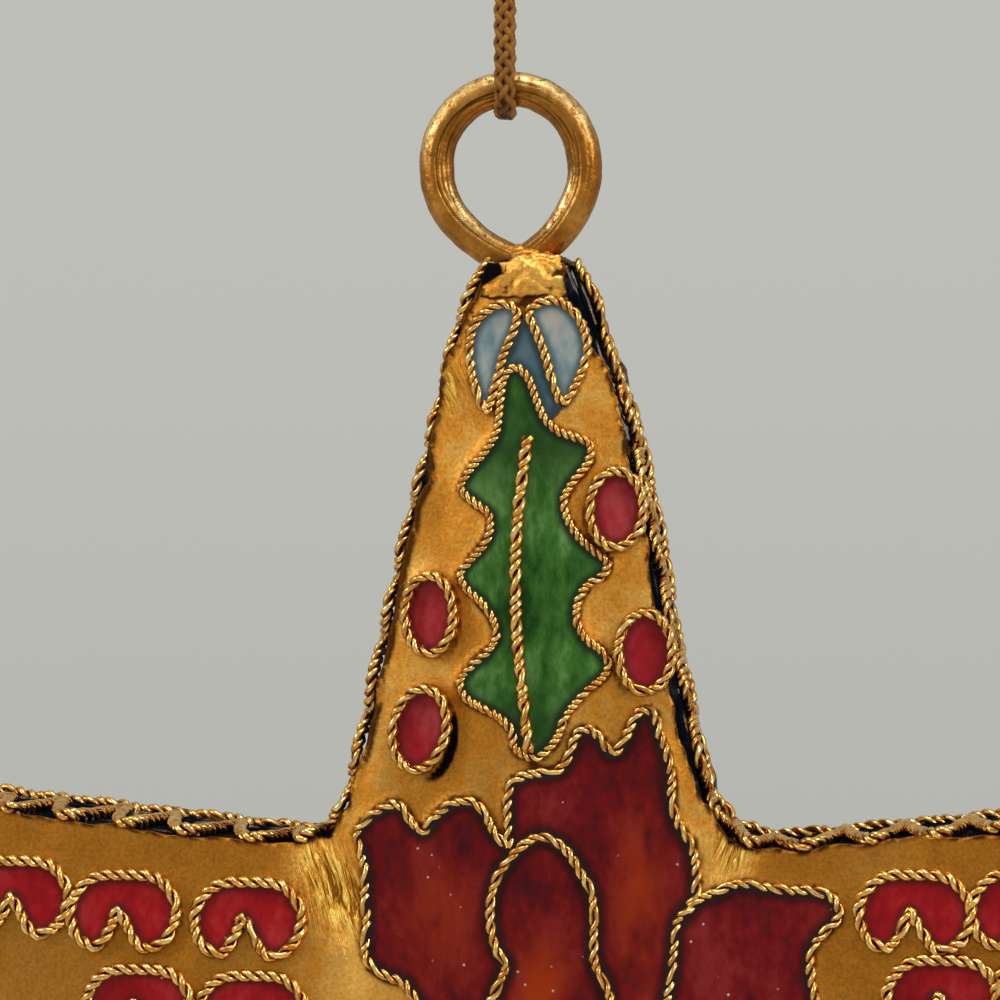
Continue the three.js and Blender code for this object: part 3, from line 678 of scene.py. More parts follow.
CLOUDS = raised([
    (-12.5, 7.1), (-18.1, 7.35), (-23.0, 7.9), (-27.2, 8.6), (-12.2, 3.1), (-17.3, 3.3),
    (16.6, 7.85), (21.4, 8.0), (26.0, 8.4), (17.8, 4.3), (22.4, 4.6),
])


def flipped(points):
    """A lower petal from an upper one."""
    return [(u, 2 * MIDDLE[1] - v) for u, v in points]


CELL_A = PETAL_A[:-1] + raised([(-2.0, 1.3)]) + PETAL_C[1:9]
CELL_B = PETAL_B[:-1] + raised([(3.7, 2.1)]) + PETAL_C[9:-2][::-1]
CELL_C = PETAL_C + raised([(0.4, 2.35)])
CELL_D = PETAL_D[:-1] + raised([(4.2, 0.4)]) + PETAL_B[25:29][::-1]
PETAL_CELLS = [CELL_A, CELL_B, CELL_C, CELL_D] + [flipped(c) for c in (CELL_A, CELL_B, CELL_C)]
CENTRE_LOOP = ellipse(MIDDLE, (MIDDLE_R, MIDDLE_R))
CLOUD_LOOPS = [[(u + a, v + b) for a, b in CLOUD] for u, v in CLOUDS]
print(len(PETAL_CELLS), "petals and", len(CLOUD_LOOPS), "clouds")

# %% [markdown]
# ## Twisted wire
# The fences are pairs of thin wires twisted together, which catch the light as a row of beads. A bump map
# would not give their outline, so the two strands are real helices round each wire's line. A closed fence
# gets a whole number of turns, so that its strands meet.

# %% Lay wires on the face
def wire_on_face(points, closed, strand, pitch, lift=1.5, wobble=0.05):
    """A wire's line, the way out of the face along it, and its make. Lift counts in strand radii."""
    step = pitch / 8
    flat = smooth_line(points, closed, step)
    count = np.arange(len(flat))
    sway = ripple(count * step * 0.5, *flat[0])
    if closed:
        sway *= np.sin(np.pi * count / len(flat))
    line = on_face(flat, lift * strand + wobble * sway)
    out = np.tile((0.0, -1.0, 0.0), (len(line), 1))
    return {"line": line, "out": out, "closed": closed, "strand": strand, "pitch": pitch}


SLACK, LOOSE, OVERLAP = 2.2, 0.3, 1.06


def twisted(name, wires):
    """One mesh of all these twisted wires, with a number at each vertex for how far out it lies."""
    strand = wires[0]["strand"]
    lines = []
    for wire in wires:
        line, closed = wire["line"], wire["closed"]
        along = directions(line, closed)
        out = wire["out"] - along * (wire["out"] * along).sum(axis=1)[:, None]
        out /= np.linalg.norm(out, axis=1)[:, None]
        side = np.cross(along, out)
        turns = max(1, round(length_of(line) / wire["pitch"]))
        share = np.arange(len(line)) / (len(line) if closed else len(line) - 1)
        hold = np.sin(np.pi * share) if closed else 1.0
        x, y, z = line.T
        slack = hold * ripple(x * 1.4, y, z * 1.4)
        loose = hold * ripple(x * 2.2, y + 9, z * 2.2)
        spread = (strand * (1 + LOOSE * loose))[:, None]
        for start in (0.0, math.pi):
            a = (start + math.tau * turns * share + SLACK * slack)[:, None]
            lines.append((line + spread * (np.cos(a) * out + np.sin(a) * side), closed))
    piece = strands(name, lines, strand * OVERLAP)
    axis = tree_of(np.vstack([wire["line"] for wire in wires]))
    write_value(piece, "proud", distances(points_of(piece), axis) / (2 * strand))
    return piece


# A make is the radius of a strand and the length of a whole turn.
FINE, MEDIUM, HEAVY = (0.112, 0.7), (0.122, 0.9), (0.15, 1.06)
PETAL_MAKE, BERRY_MAKE = (0.122, 1.2), (0.13, 1.16)
CLOUD_MAKE, WALL_MAKE = (0.15, 1.14), (0.152, 1.12)
holly_wires = []
for arm in HOLLY_ARMS:
    holly_wires.append(wire_on_face(turned(LEAF, arm), True, *FINE, lift=1.1))
    for loop in (DROP_LEFT, DROP_RIGHT):
        holly_wires.append(wire_on_face(turned(loop, arm), True, *MEDIUM))
    for loop in BERRY_LOOPS:
        holly_wires.append(wire_on_face(turned(loop, arm), True, *BERRY_MAKE))
        holly_wires.append(wire_on_face(turned(loop, arm), True, *BERRY_MAKE, lift=4.2, wobble=0.25))
    holly_wires.append(wire_on_face(turned(VEIN, arm), False, *HEAVY, lift=2.4))
flower_wires = [wire_on_face(CENTRE_LOOP, True, *FINE)]
for petal in (PETAL_A, PETAL_B, PETAL_D, flipped(PETAL_A), flipped(PETAL_B)):
    flower_wires.append(wire_on_face(petal, False, *PETAL_MAKE, lift=1.0))
for petal in (PETAL_C, flipped(PETAL_C)):
    flower_wires.append(wire_on_face(petal, False, *PETAL_MAKE, lift=2.6))
cloud_wires = [wire_on_face(loop, True, *CLOUD_MAKE, lift=1.8) for loop in CLOUD_LOOPS]
FACE_WIRES = holly_wires + flower_wires + cloud_wires
print(round(sum(length_of(w["line"]) for w in FACE_WIRES)), "mm of twisted wire on a face")

# %% [markdown]
# ## The scalloped wire on the walls
# The star's side walls carry a heavier twisted wire in scallops: each arc bellies to the edge of the face
# and its points reach back over the wall. It is laid along every wall in turn, just outside the enamel.

# %% Lay wires on the walls
WALL_OUT, BACK_OUT = 0.15, -0.05
WEB_OUT, WEB_WIDE, WEB_LONG = 0.85, 1.25, 2.5
SCALLOPS, TOP_SCALLOPS = 10, 9
LEVEL = ((0, 0), (1, 0))


def arm_corners(outset):
    """An arm's outline, moved outward: inner corner, shoulder and tip on the right, then on the left."""
    notch = NOTCH_R + outset / math.sin(HALF + LEAN)
    bend = (TIP_LEAN - LEAN) / 2
    aside = outset / math.cos(bend)
    right = [
        (notch * math.sin(HALF), notch * math.cos(HALF)),
        (SHOULDER_HALF + aside * math.cos(LEAN + bend), SHOULDER_R + aside * math.sin(LEAN + bend)),
        (TIP_HALF + outset * (1 - math.sin(TIP_LEAN)) / math.cos(TIP_LEAN), TIP_R + outset),
    ]
    return right + [(-u, v) for u, v in reversed(right)]


def valley_axes(u, v):
    """The bearing of the nearest valley, and how far along it and beside it each point lies."""
    valley = np.floor(np.arctan2(u, v) / SECTOR) * SECTOR + HALF
    return valley, u * np.sin(valley) + v * np.cos(valley), u * np.cos(valley) - v * np.sin(valley)


def webbed(flat):
    """Points near an inner corner move out along its valley, which rounds the corner."""
    valley, along, across = valley_axes(*flat.T)
    out = WEB_OUT * bell(across, 0, WEB_WIDE) * rise(along, NOTCH_R - WEB_LONG, NOTCH_R) ** 2
    return flat + out[:, None] * np.column_stack([np.sin(valley), np.cos(valley)])


def wall_wire(path, belly, point, scallops=SCALLOPS, slip=0.0, stray=LEVEL):
    """A scalloped wire along a wall, as bent by hand. Belly and point are how far back its arcs reach.

    Slip is how far it slid back near the arm's tip, stray how far it stands off the wall along its way.
    """
    start_u, start_v = path[0]
    flat = webbed(even_steps(np.array(path, float), False, 0.06))
    t = np.linspace(0, 1, len(flat))
    marks = np.arange(scallops + 1.0)
    marks[1:-1] += 0.35 * ripple(marks[1:-1] * 1.7, start_u, start_v)
    beat = np.interp(t, marks / scallops, np.arange(scallops + 1))
    arc = np.abs(2 * (beat % 1.0) - 1) ** 2
    reach = np.clip(1 + 0.4 * ripple(beat * 0.9, start_u + 5.0, start_v), 0.5, 1.15)
    slid = rise(t, 0.6, 0.85) * (slip > 0)
    depth = belly + (point - belly) * arc * reach * (1 - 0.75 * slid) + slip * slid
    sway = ripple(beat * 1.3, start_v, 4.0)
    run = directions(flat, False)
    out = np.column_stack([run[:, 1], np.zeros(len(run)), -run[:, 0]])
    if out[:, [0, 2]].mean(axis=0) @ flat.mean(axis=0) < 0:
        out = -out
    bow = 0.06 - 0.1 * arc if scallops > 1 else 0.0
    stand = 0.06 * sway + bow + np.interp(t, *zip(*stray))
    line = np.column_stack([flat[:, 0], depth + 0.12 * sway, flat[:, 1]]) + stand[:, None] * out
    strand, pitch = WALL_MAKE
    both = even_steps(np.hstack([line, out]), False, pitch / 9)
    return {"line": both[:, :3], "out": both[:, 3:], "closed": False, "strand": strand, "pitch": pitch}


# The top arm's wires lie as the picture shows them. The others have even scallops.
RIGHT_STRAY = ((0, -0.05), (0.38, -0.05), (0.5, 0), (0.85, 0.1), (0.93, 0.35), (1, 0.05))
LEFT_STRAY = (
    (0, 0), (0.12, 0.12), (0.45, 0.06), (0.58, -0.08), (0.7, -0.25), (0.8, 0), (0.9, 0.3), (1, -0.05),
)
SUNK = ((0, 0), (0.1, -0.2), (0.4, -0.2), (0.5, 0))
FRONT_REACH, TIP_REACH, BACK_REACH = (-3.95, 1.3), (-3.7, 1.6), (3.7, 3.4)
wall_wires = {"front": [], "back": []}
for arm in range(ARMS):
    fore, rear = (turned(arm_corners(outset), arm) for outset in (WALL_OUT, BACK_OUT))
    if arm == 0:
        wall_wires["front"] += [
            wall_wire(fore[:3], -3.1, -1.0, TOP_SCALLOPS, 1.8, RIGHT_STRAY),
            wall_wire(fore[:2:-1], -3.4, -2.3, TOP_SCALLOPS, 0.0, LEFT_STRAY),
        ]
    else:
        wall_wires["front"] += [wall_wire(path, *FRONT_REACH) for path in (fore[:3], fore[:2:-1])]
        wall_wires["front"].append(wall_wire(fore[2:4], *TIP_REACH, 1))
    for path in (rear[:3], rear[:2:-1]):
        wall_wires["back"].append(wall_wire(path, *BACK_REACH, stray=LEVEL if arm else SUNK))
    if arm > 0:
        wall_wires["back"].append(wall_wire(rear[2:4], *BACK_REACH, 1))
print(len(wall_wires["front"]), "wall wires to a side")

# %% [markdown]
# ## Gilt finishes
# The gilding is satin and orange, with darker soil and painted shade where a wire meets the sheet, and
# painted highlight and shade on its crinkled folds. Metal takes its look from what it reflects, so the
# colour stays simple and the life comes from roughness and relief. The twisted wire has a painted highlight
# on top and painted shade in its grooves.

# %% Gilt sheet
def gilt_sheet():
    material, tree, shader = finish_tree("satin_gilt")
    place = object_place(tree)
    broad = clouds(place, 260.0, 3.0, 0.5)
    patch = clouds(place, 1100.0, 5.0, 0.65)
    grain = clouds(place, 6500.0, 4.0, 0.7)
    colour = ramp(
        maths("MULTIPLY_ADD", patch, 0.7, broad),
        (0.55, (0.55, 0.21, 0.023)), (0.82, (0.80, 0.335, 0.043)), (1.0, (0.97, 0.52, 0.11)),
    )
    # Painted shade: the side arms and a band across the top arm's lower part are darker.
    colour = mix(maths("MULTIPLY", kept(tree, "painted_arm_shade"), 0.8), colour, (0.40, 0.150, 0.015))
    speck = ramp(grain, (0.34, (0.52, 0.46, 0.36)), (0.6, (1.0, 1.0, 1.0)))
    colour = mix(0.6, colour, speck, "MULTIPLY")
    crinkle_and_fold_light = kept(tree, "crinkle_and_fold_light")
    uv = add_node(tree, "ShaderNodeUVMap", {}, uv_map="folds").outputs[0]
    fold_place = add_node(tree, "ShaderNodeMapping", {"Vector": uv, "Scale": (3.8, 0.75, 1.0)}).outputs[0]
    folds = clouds(fold_place, 1.0, 4.0, 0.62, 1.5)
    # The crinkled folds run from dark brown in their hollows to bright yellow on their crests: painted
    # highlight and shade.
    fold_light_and_shade = ramp(
        folds, (0.39, (0.13, 0.045, 0.004)), (0.5, (0.70, 0.32, 0.03)), (0.6, (1.0, 0.78, 0.19)),
    )
    colour = mix(stretch(crinkle_and_fold_light, 0.15, 0.7, 0.0, 0.85), colour, fold_light_and_shade)
    # Soil and painted shade: darker at the feet of the wires, at the plate's edge and in the recess under
    # the tip cap.
    dirt_and_shade = maths("MULTIPLY", kept(tree, "soil_and_shade"), stretch(patch, 0.3, 0.6, 0.35, 1.1))
    colour = mix(stretch(dirt_and_shade, 0.12, 0.8), colour, (0.085, 0.028, 0.005))
    # Soot and painted shade, near black: a hole beside the tip and a crescent of painted shadow beside each
    # berry.
    soot_and_shade = maths("MULTIPLY", kept(tree, "soot_and_shade"), stretch(patch, 0.25, 0.5, 0.8, 1.2))
    colour = mix(stretch(soot_and_shade, 0.2, 0.75), colour, (0.006, 0.004, 0.003))
    relief = bump(maths("MULTIPLY", folds, crinkle_and_fold_light), 1.0, 0.0004)
    relief = bump(patch, 0.4, 0.00008, relief)
    relief = bump(grain, 0.5, 0.00003, relief)
    plug(shader, {
        "Base Color": colour, "Metallic": 1.0, "Roughness": stretch(patch, 0.3, 0.75, 0.5, 0.32),
        "Normal": relief,
    })
    return material


GILT_SHEET = gilt_sheet()
print(GILT_SHEET.name)

# %% Gilt wire
def gilt_wire():
    material, tree, shader = finish_tree("bright_gilt_wire")
    patch = clouds(object_place(tree), 1500.0, 4.0, 0.6)
    proud = kept(tree, "proud")
    colour = ramp(patch, (0.35, (0.50, 0.19, 0.026)), (0.66, (0.95, 0.56, 0.14)))
    # Painted highlight: the strands' tops are paler.
    colour = mix(stretch(proud, 0.92, 1.02, 0.0, 0.6), colour, (1.0, 0.75, 0.34))
    # Painted shade in the grooves between the strands.
    colour = mix(stretch(proud, 0.40, 0.84, 0.9, 0.0), colour, (0.16, 0.052, 0.010))
    plug(shader, {
        "Base Color": colour, "Metallic": 1.0, "Roughness": stretch(patch, 0.3, 0.7, 0.34, 0.18),
        "Normal": bump(patch, 0.3, 0.00003),
    })
    return material


GILT_WIRE = gilt_wire()
print(GILT_WIRE.name)

# %% [markdown]
# ## The gold plates
# A plate is a sheet with the star's outline. Half of one arm is cut from a grid with five bisects, mirrored
# at the ridge, and spun round the middle, so the sheet has even faces and a clean edge. Its height, dents
# and the folds at the inner corners are then pressed in, and Solidify gives it the thickness of the sheet.

# %% Cut, mirror and spin the sheet
def star_sheet(name, cell, wide=9, tall=38):
    sheet = primitive(
        name, bpy.ops.mesh.primitive_grid_add, (wide / 2, 0, 18.7), (math.pi / 2, 0, 0), (wide, tall, 1),
        x_subdivisions=round(wide / cell), y_subdivisions=round(tall / cell), size=1,
    )
    shoulder, tip = arm_corners(0)[1:3]
    cuts = [
        ((0, 0, 0), (-1, 0, 0)),
        ((0, 0, TIP_R), (0, 0, 1)),
        ((tip[0], 0, tip[1]), (math.cos(TIP_LEAN), 0, math.sin(TIP_LEAN))),
        ((shoulder[0], 0, shoulder[1]), (math.cos(LEAN), 0, math.sin(LEAN))),
        ((0, 0, 0), (math.cos(HALF), 0, -math.sin(HALF))),
    ]
    bpy.ops.object.mode_set(mode="EDIT")
    for place, way in cuts:
        bpy.ops.mesh.select_all(action="SELECT")
        bpy.ops.mesh.bisect(plane_co=place, plane_no=way, clear_outer=True)
    modify(sheet, "MIRROR", merge_threshold=0.002)
    bpy.ops.object.mode_set(mode="EDIT")
    bpy.ops.mesh.select_all(action="SELECT")
    bpy.ops.mesh.spin(
        steps=ARMS - 1, dupli=True, angle=(ARMS - 1) * SECTOR, center=(0, 0, 0), axis=(0, 1, 0)
    )
    bpy.ops.mesh.select_all(action="SELECT")
    bpy.ops.mesh.remove_doubles(threshold=0.012)
    face_out(sheet, (0, -1, 0))
    return sheet


SHEET = 0.5
plate = star_sheet("gold_plate_front", 0.2)
print("sheet", len(plate.data.polygons), "faces")

# %% Press the sheet
WAVY, DENTED, FOLDED, FILLET = 0.3, 0.08, 0.14, 0.12
flat = points_of(plate)
u, v = flat[:, 0], flat[:, 2]
bearing = np.arctan2(u, v)
on_top_arm = np.abs(bearing) < HALF
along_valley, from_valley = valley_axes(u, v)[1:]
upper = np.abs(np.abs(bearing) - HALF) < HALF
toward_arm = np.where(upper, from_valley * np.sign(u), np.abs(from_valley))
# Where the folds lie beside a valley and how wide, then where along it and how long.
LEFT_FOLDS, RIGHT_FOLDS = np.array([(1.0, 1.15, 12.5, 2.3), (0.3, 1.0, 14.5, 1.1)])[:, :, None]
beside, wide, along, tall = np.where((u < 0) | ~upper, LEFT_FOLDS, RIGHT_FOLDS)
crinkle_and_fold_light = bell(toward_arm, beside, wide) * bell(along_valley, along, tall) * np.where(upper, 1.0, 0.5)
# A crinkled patch by the top arm's left edge, whose fold colour paints a highlight there.
crinkle_and_fold_light += 0.5 * bell(u, -3.2, 0.9) * bell(v, 32.0, 1.7)
fold_lines = 1 - 2 * np.abs(ripple(from_valley * 0.9, along_valley * 0.16, 7.0))
inward = height(u, v) / SLOPE
wave = np.column_stack([ripple(u * 0.7, v * 0.7, z) for z in (1.0, 5.0)])
edge = webbed(flat[:, [0, 2]]) + WAVY * wave * fade(inward, 0.6)[:, None]
# How far the edge of the top arm stays inside its outline, along the arm.
shy_left = np.interp(
    v, (14, 16, 24, 26.5, 27.7, 29.5, 31, 32.7, 34), (0, 0.08, 0.08, 0.15, 0.4, 0.15, 0, -0.3, -0.1),
)
shy_right = np.interp(
    v, (14, 17, 19, 22, 25, 28, 29.8, 31.0, 32.2, 33.3, 35, 35.9, 36.9),
    (0, 0.4, 0.42, 0.25, 0.1, 0.1, 0.05, -0.35, -0.38, 0, 0.25, 0.5, 0.1),
)
edge[:, 0] += np.where(u < 0, shy_left, -shy_right) * on_top_arm * fade(inward, 1.0)
dents = ripple(u * 0.45, v * 0.45, 3.0)
pressed = on_face(edge, DENTED * dents + FOLDED * crinkle_and_fold_light * (fold_lines - 0.6))
gap = distances(pressed, tree_of(np.vstack([w["line"][::2] for w in FACE_WIRES])))
pressed[:, 1] -= FILLET * bell(gap, 0, 0.32)
move_points(plate, pressed)
print("pressed", round(float(-pressed[:, 1].min() - RIM_Y), 2), "mm deep")

# %% Soil and shade the sheet, and map its folds
def spot(place, size):
    """A patch of the sheet with a soft edge."""
    return np.exp(-(((u - place[0]) / size[0]) ** 2 + ((v - place[1]) / size[1]) ** 2) ** 2)


# Soil and painted shade along the feet of the wires.
off_wire = gap - 0.24
soil_and_shade = 0.75 * fade(off_wire, 0.09) + 0.2 * fade(off_wire, 0.5)
left_edge_band = on_top_arm * (u < 0) * rise(v, 13.5, 15.5) * rise(v, 32, 29.5)
# Darker too: the plate's edge, a band along the top arm's left edge, and painted shade in the recess under
# the tip cap.
for more in (
    0.9 * fade(inward, 0.08), 1.1 * left_edge_band * bell(np.clip(inward, 0, 9), 0, 0.34),
    1.1 * spot((0.25, TIP_R - 1.75), (0.6, 0.3)),
):
    soil_and_shade = np.maximum(soil_and_shade, more)
# Soot and the painted shade of a hole beside the tip, then a crescent of painted shadow on one side of each
# berry.
soot_and_shade = 1.3 * spot((-1.5, TIP_R - 0.4), (0.6, 0.65))
for arm in HOLLY_ARMS:
    local = np.array(turned(np.column_stack([u, v]), -arm))
    for middle, half, _ in BERRIES:
        away = (local - raised([middle])[0]) / half
        apart = np.linalg.norm(away, axis=1)
        shade = away @ np.array([-np.sign(middle[0]), -0.5]) / apart / 1.12
        strength = 1.25 if middle[1] < 16 else 0.55
        soot_and_shade += strength * bell((apart - 1) * 1.4, 0.36, 0.22) * np.clip(shade, 0, 1) ** 2
# Painted shade: the side arms, whose facets face away from the light, are darker, and so is a band across
# the top arm's lower part.
painted_arm_shade = rise(np.abs(u), 7.5, 11.5) * rise(v, -2, 4)
painted_arm_shade += 0.7 * rise(v, 19.5, 17) * rise(np.abs(u), 7, 6) * rise(v, 8, 11)
write_value(plate, "soil_and_shade", np.clip(soil_and_shade, 0, 1.6))
write_value(plate, "soot_and_shade", np.clip(soot_and_shade, 0, 1.3))
write_value(plate, "painted_arm_shade", painted_arm_shade)
write_value(plate, "crinkle_and_fold_light", crinkle_and_fold_light)
fold_map = plate.data.uv_layers.new(name="folds")
corner_vertex = np.empty(len(plate.data.loops), np.int32)
plate.data.loops.foreach_get("vertex_index", corner_vertex)
fold_across = np.where(upper, toward_arm + 0.38 * along_valley, from_valley)
fold_uv = np.column_stack([fold_across, along_valley])[corner_vertex]
fold_map.data.foreach_set("uv", fold_uv.astype(np.float32).ravel())
thicken(plate, SHEET)
dress(plate, GILT_SHEET)
print("plate", len(plate.data.polygons), "faces")

# %% [markdown]
# ## Both faces
# The back carries the same design, turned round. Each finished front piece is duplicated with a mesh of
# its own and turned half round the upright axis before both are settled.

# %% Settle a piece on both faces
def on_both_faces(piece, nodes):
    """Settles a front piece, and a copy of it on the back. Nodes are names without their side."""
    pick(piece)
    bpy.ops.object.duplicate()
    rear = bpy.context.object
    rear.name = piece.name.replace("_front", "_back")
    for one, side, turn in ((piece, "front", 0.0), (rear, "back", math.pi)):
        stands_for = [f"{side}_{n}" for n in nodes if f"{side}_{n}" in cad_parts]
        settle(one, STAR, "star", stands_for, turn)
    print(piece.name, len(piece.data.polygons), "faces")


on_both_faces(plate, ["plate"])
places = ("top", "low_right", "low_left")
for name, wires, nodes in (
    ("holly_wire_front", holly_wires, [f"holly_wire_{p}" for p in places]),
    ("flower_wire_front", flower_wires, ["flower_wire"]),
    ("cloud_wire_front", cloud_wires, ["cloud_wire_left", "cloud_wire_right"]),
):
    by_strand = {}
    for wire in wires:
        by_strand.setdefault(wire["strand"], []).append(wire)
    wirework = joined(name, [twisted(f"{name}_{i}", group) for i, group in enumerate(by_strand.values())])
    dress(wirework, GILT_WIRE)
    on_both_faces(wirework, nodes)

# %% Settle the wall wires
for side in ("front", "back"):
    rim = twisted(f"wall_wire_{side}", wall_wires[side])
    dress(rim, GILT_WIRE)
    settle(rim, STAR, "star", (f"{side}_rim_wire",))
    print(rim.name, len(rim.data.polygons), "faces")

# %% [markdown]
# ## Enamel finishes
# Enamel is coloured glass: a hard gloss over a colour that clouds and darkens where it is thick, with
# painted shade where it meets the wire. Each finish mixes two noises for the clouds, darkens toward the
# fence by the distance that the mesh carries, thicker glass and painted shade together, and keeps a few pale
# specks where bubbles broke the surface.

# %% Enamel
def enamel(name, deep, body, light, rim, specks=0.0, cloud=900.0, stretch_z=0.6, glow=None, band=0.55):
    """A glossy enamel. Rim is its colour at the fence, partly painted shade beside the wire, glow its colour
    where the mesh's glow number says.
    """
    material, tree, shader = finish_tree(name)
    place = object_place(tree, (1, 1, stretch_z))
    broad = clouds(place, cloud * 0.45, 3.0, 0.55, 0.4)
    fine = clouds(place, cloud * 2.6, 4.0, 0.65)
    inside = kept(tree, "inside")
    colour = ramp(maths("MULTIPLY_ADD", fine, 0.6, broad), (0.58, deep), (0.79, body), (1.0, light))
    if glow is not None:
        colour = mix(maths("MULTIPLY", kept(tree, "glow"), stretch(broad, 0.3, 0.6)), colour, glow)
    # Toward the fence the glass darkens: partly thicker glass, partly painted shade beside the wire.
    colour = mix(stretch(inside, 0.2, band, 0.95, 0.0), colour, rim)
    if specks:
        dots = add_node(tree, "ShaderNodeTexVoronoi", {"Vector": object_place(tree), "Scale": 1300.0})
        dot = stretch(dots.outputs["Distance"], 0.05, 0.1, 1.0, 0.0)
        dot = maths("MULTIPLY", dot, stretch(broad, 0.5, 0.62, 0.0, specks))
        colour = mix(dot, colour, (0.55, 0.45, 0.42))
    plug(shader, {
        "Base Color": colour, "Roughness": stretch(inside, 0.2, 0.5, 0.06, 0.17),
        "Specular IOR Level": stretch(inside, 0.2, 0.5, 0.26, 0.09), "Normal": bump(fine, 0.12, 0.00003),
    })
    return material


LEAF_GREEN = enamel(
    "leaf_green", (0.009, 0.042, 0.005), (0.038, 0.120, 0.018), (0.13, 0.25, 0.075),
    (0.003, 0.014, 0.002), cloud=760.0, stretch_z=0.5, glow=(0.008, 0.036, 0.005),
)
PETAL_RED = enamel(
    "petal_red", (0.050, 0.004, 0.006), (0.120, 0.004, 0.005), (0.165, 0.013, 0.012),
    (0.006, 0.0015, 0.002), 0.7, glow=(0.27, 0.026, 0.002), band=0.72,
)
BERRY_RED = enamel(
    "berry_red", (0.24, 0.008, 0.012), (0.32, 0.014, 0.020), (0.38, 0.048, 0.05), (0.12, 0.004, 0.006),
)
CLOUD_RED = enamel(
    "cloud_red", (0.16, 0.004, 0.006), (0.26, 0.006, 0.008), (0.31, 0.02, 0.02), (0.07, 0.003, 0.004), 0.7,
)
DROP_BLUE = enamel(
    "drop_blue", (0.105, 0.175, 0.195), (0.19, 0.255, 0.255), (0.36, 0.34, 0.29), (0.055, 0.10, 0.12), 0.6,
    glow=(0.42, 0.31, 0.25),
)
WEDGE_BLUE = enamel(
    "wedge_blue", (0.026, 0.075, 0.10), (0.055, 0.115, 0.14), (0.10, 0.11, 0.11), (0.02, 0.04, 0.045), 0.3,
)
CENTRE_YELLOW = enamel(
    "centre_yellow", (0.28, 0.15, 0.02), (0.42, 0.26, 0.04), (0.55, 0.38, 0.1), (0.12, 0.05, 0.01),
)
print("enamels ready")

# %% [markdown]
# ## Filling the cells
# A cell has to meet its bent wire all the way round, so it can't be cut from a box. Its outline and an even
# field of points inside it are joined by a Delaunay triangulation. The glass sinks a little toward the
# middle of the cell and climbs at the wire, as it does when it melts.

# %% Cells
FILL, CLIMB = 0.13, 0.13
SPACING = 0.15
GLASS = 0.3


def inside_outline(points, outline):
    """Which points lie inside a closed outline, by counting the edges that each looks across."""
    x, y = points[:, 0], points[:, 1]
    odd = np.zeros(len(points), bool)
    for (x0, y0), (x1, y1) in zip(outline, np.roll(outline, -1, axis=0)):
        crosses = (y0 > y) != (y1 > y)
        if crosses.any():
            edge = x0 + (y - y0) * (x1 - x0) / (y1 - y0 if y1 != y0 else 1e-9)
            odd ^= crosses & (x < edge)
    return odd


def fill_cell(outline):
    """A cell's points, its triangles and each point's distance to the fence."""
    ring = smooth_line(outline, True, SPACING)
    low, high = ring.min(axis=0), ring.max(axis=0)
    field = []
    for i, y in enumerate(np.arange(low[1], high[1], SPACING * 0.866)):
        xs = np.arange(low[0] + (i % 2) * SPACING / 2, high[0], SPACING)
        field.append(np.column_stack([xs, np.full(len(xs), y)]))
    field = np.vstack(field)
    field = field[inside_outline(field, ring)]
    fence = tree_of([(x, y, 0) for x, y in ring])
    field = field[distances([(x, y, 0) for x, y in field], fence) > 0.55 * SPACING]
    points = [Vector(p) for p in np.vstack([ring, field])]
    border = [(i, (i + 1) % len(ring)) for i in range(len(ring))]
    made = delaunay_2d_cdt(points, border, [], 1, 1e-6)
    flat = np.array([tuple(p) for p in made[0]])
    gap = distances([(x, y, 0) for x, y in flat], fence)
    uneven = ripple(flat[:, 0] * 0.8, flat[:, 1] * 0.5, 11.0)
    top = FILL + CLIMB * np.exp(-gap / 0.2) + 0.035 * uneven * np.clip(gap, 0, 1)
    return on_face(flat, top), made[2], gap


def enamel_cells(name, outlines, material, glow=None):
    """One mesh of these cells, each closed underneath."""
    points, faces, gaps = np.empty((0, 3)), [], []
    for outline in outlines:
        more, triangles, gap = fill_cell(outline)
        faces += [[i + len(points) for i in corners] for corners in triangles]
        points = np.vstack([points, more])
        gaps.append(gap)
    mesh = bpy.data.meshes.new(name)
    mesh.from_pydata(points.tolist(), [], faces)
    piece = bpy.data.objects.new(name, mesh)
    bpy.context.collection.objects.link(piece)
    write_value(piece, "inside", np.concatenate(gaps))
    if glow is not None:
        write_value(piece, "glow", glow(points[:, 0], points[:, 2], np.concatenate(gaps)))
    thicken(piece, GLASS)
    dress(piece, material)
    return piece


def on_holly_arms(*outlines):
    return [turned(outline, arm) for arm in HOLLY_ARMS for outline in outlines]


def petal_glow(u, v, gap):
    """The lower middle of the long petals glows orange, where the glass is thin over the gilt."""
    low = bell(u, 0.9, 1.2) * bell(v, 5.3, 2.3)
    side = 0.75 * bell(u, 5.0, 1.0) * bell(v, 9.3, 3.5)
    left = 0.5 * bell(u, -3.6, 1.6) * bell(v, 8.8, 2.5)
    return np.clip(low + side + left, 0, 1)


def leaf_shade(u, v, gap):
    """Both ends of a leaf are darker, where the glass is thick."""
    reach = np.hypot(u, v)
    return np.clip(np.maximum((reach - 26.5) / 3.0, (19.5 - reach) / 2.5), 0, 0.85)


def drop_glow(u, v, gap):
    """The middle of a drop is milky, most of all near its round end and on the left one."""
    return rise(gap, 0.45, 0.8) * np.clip(0.6 + (v - 34.5) * 0.5, 0.1, 1) * np.where(u < -0.6, 1.0, 0.6)


print("cell helpers ready")

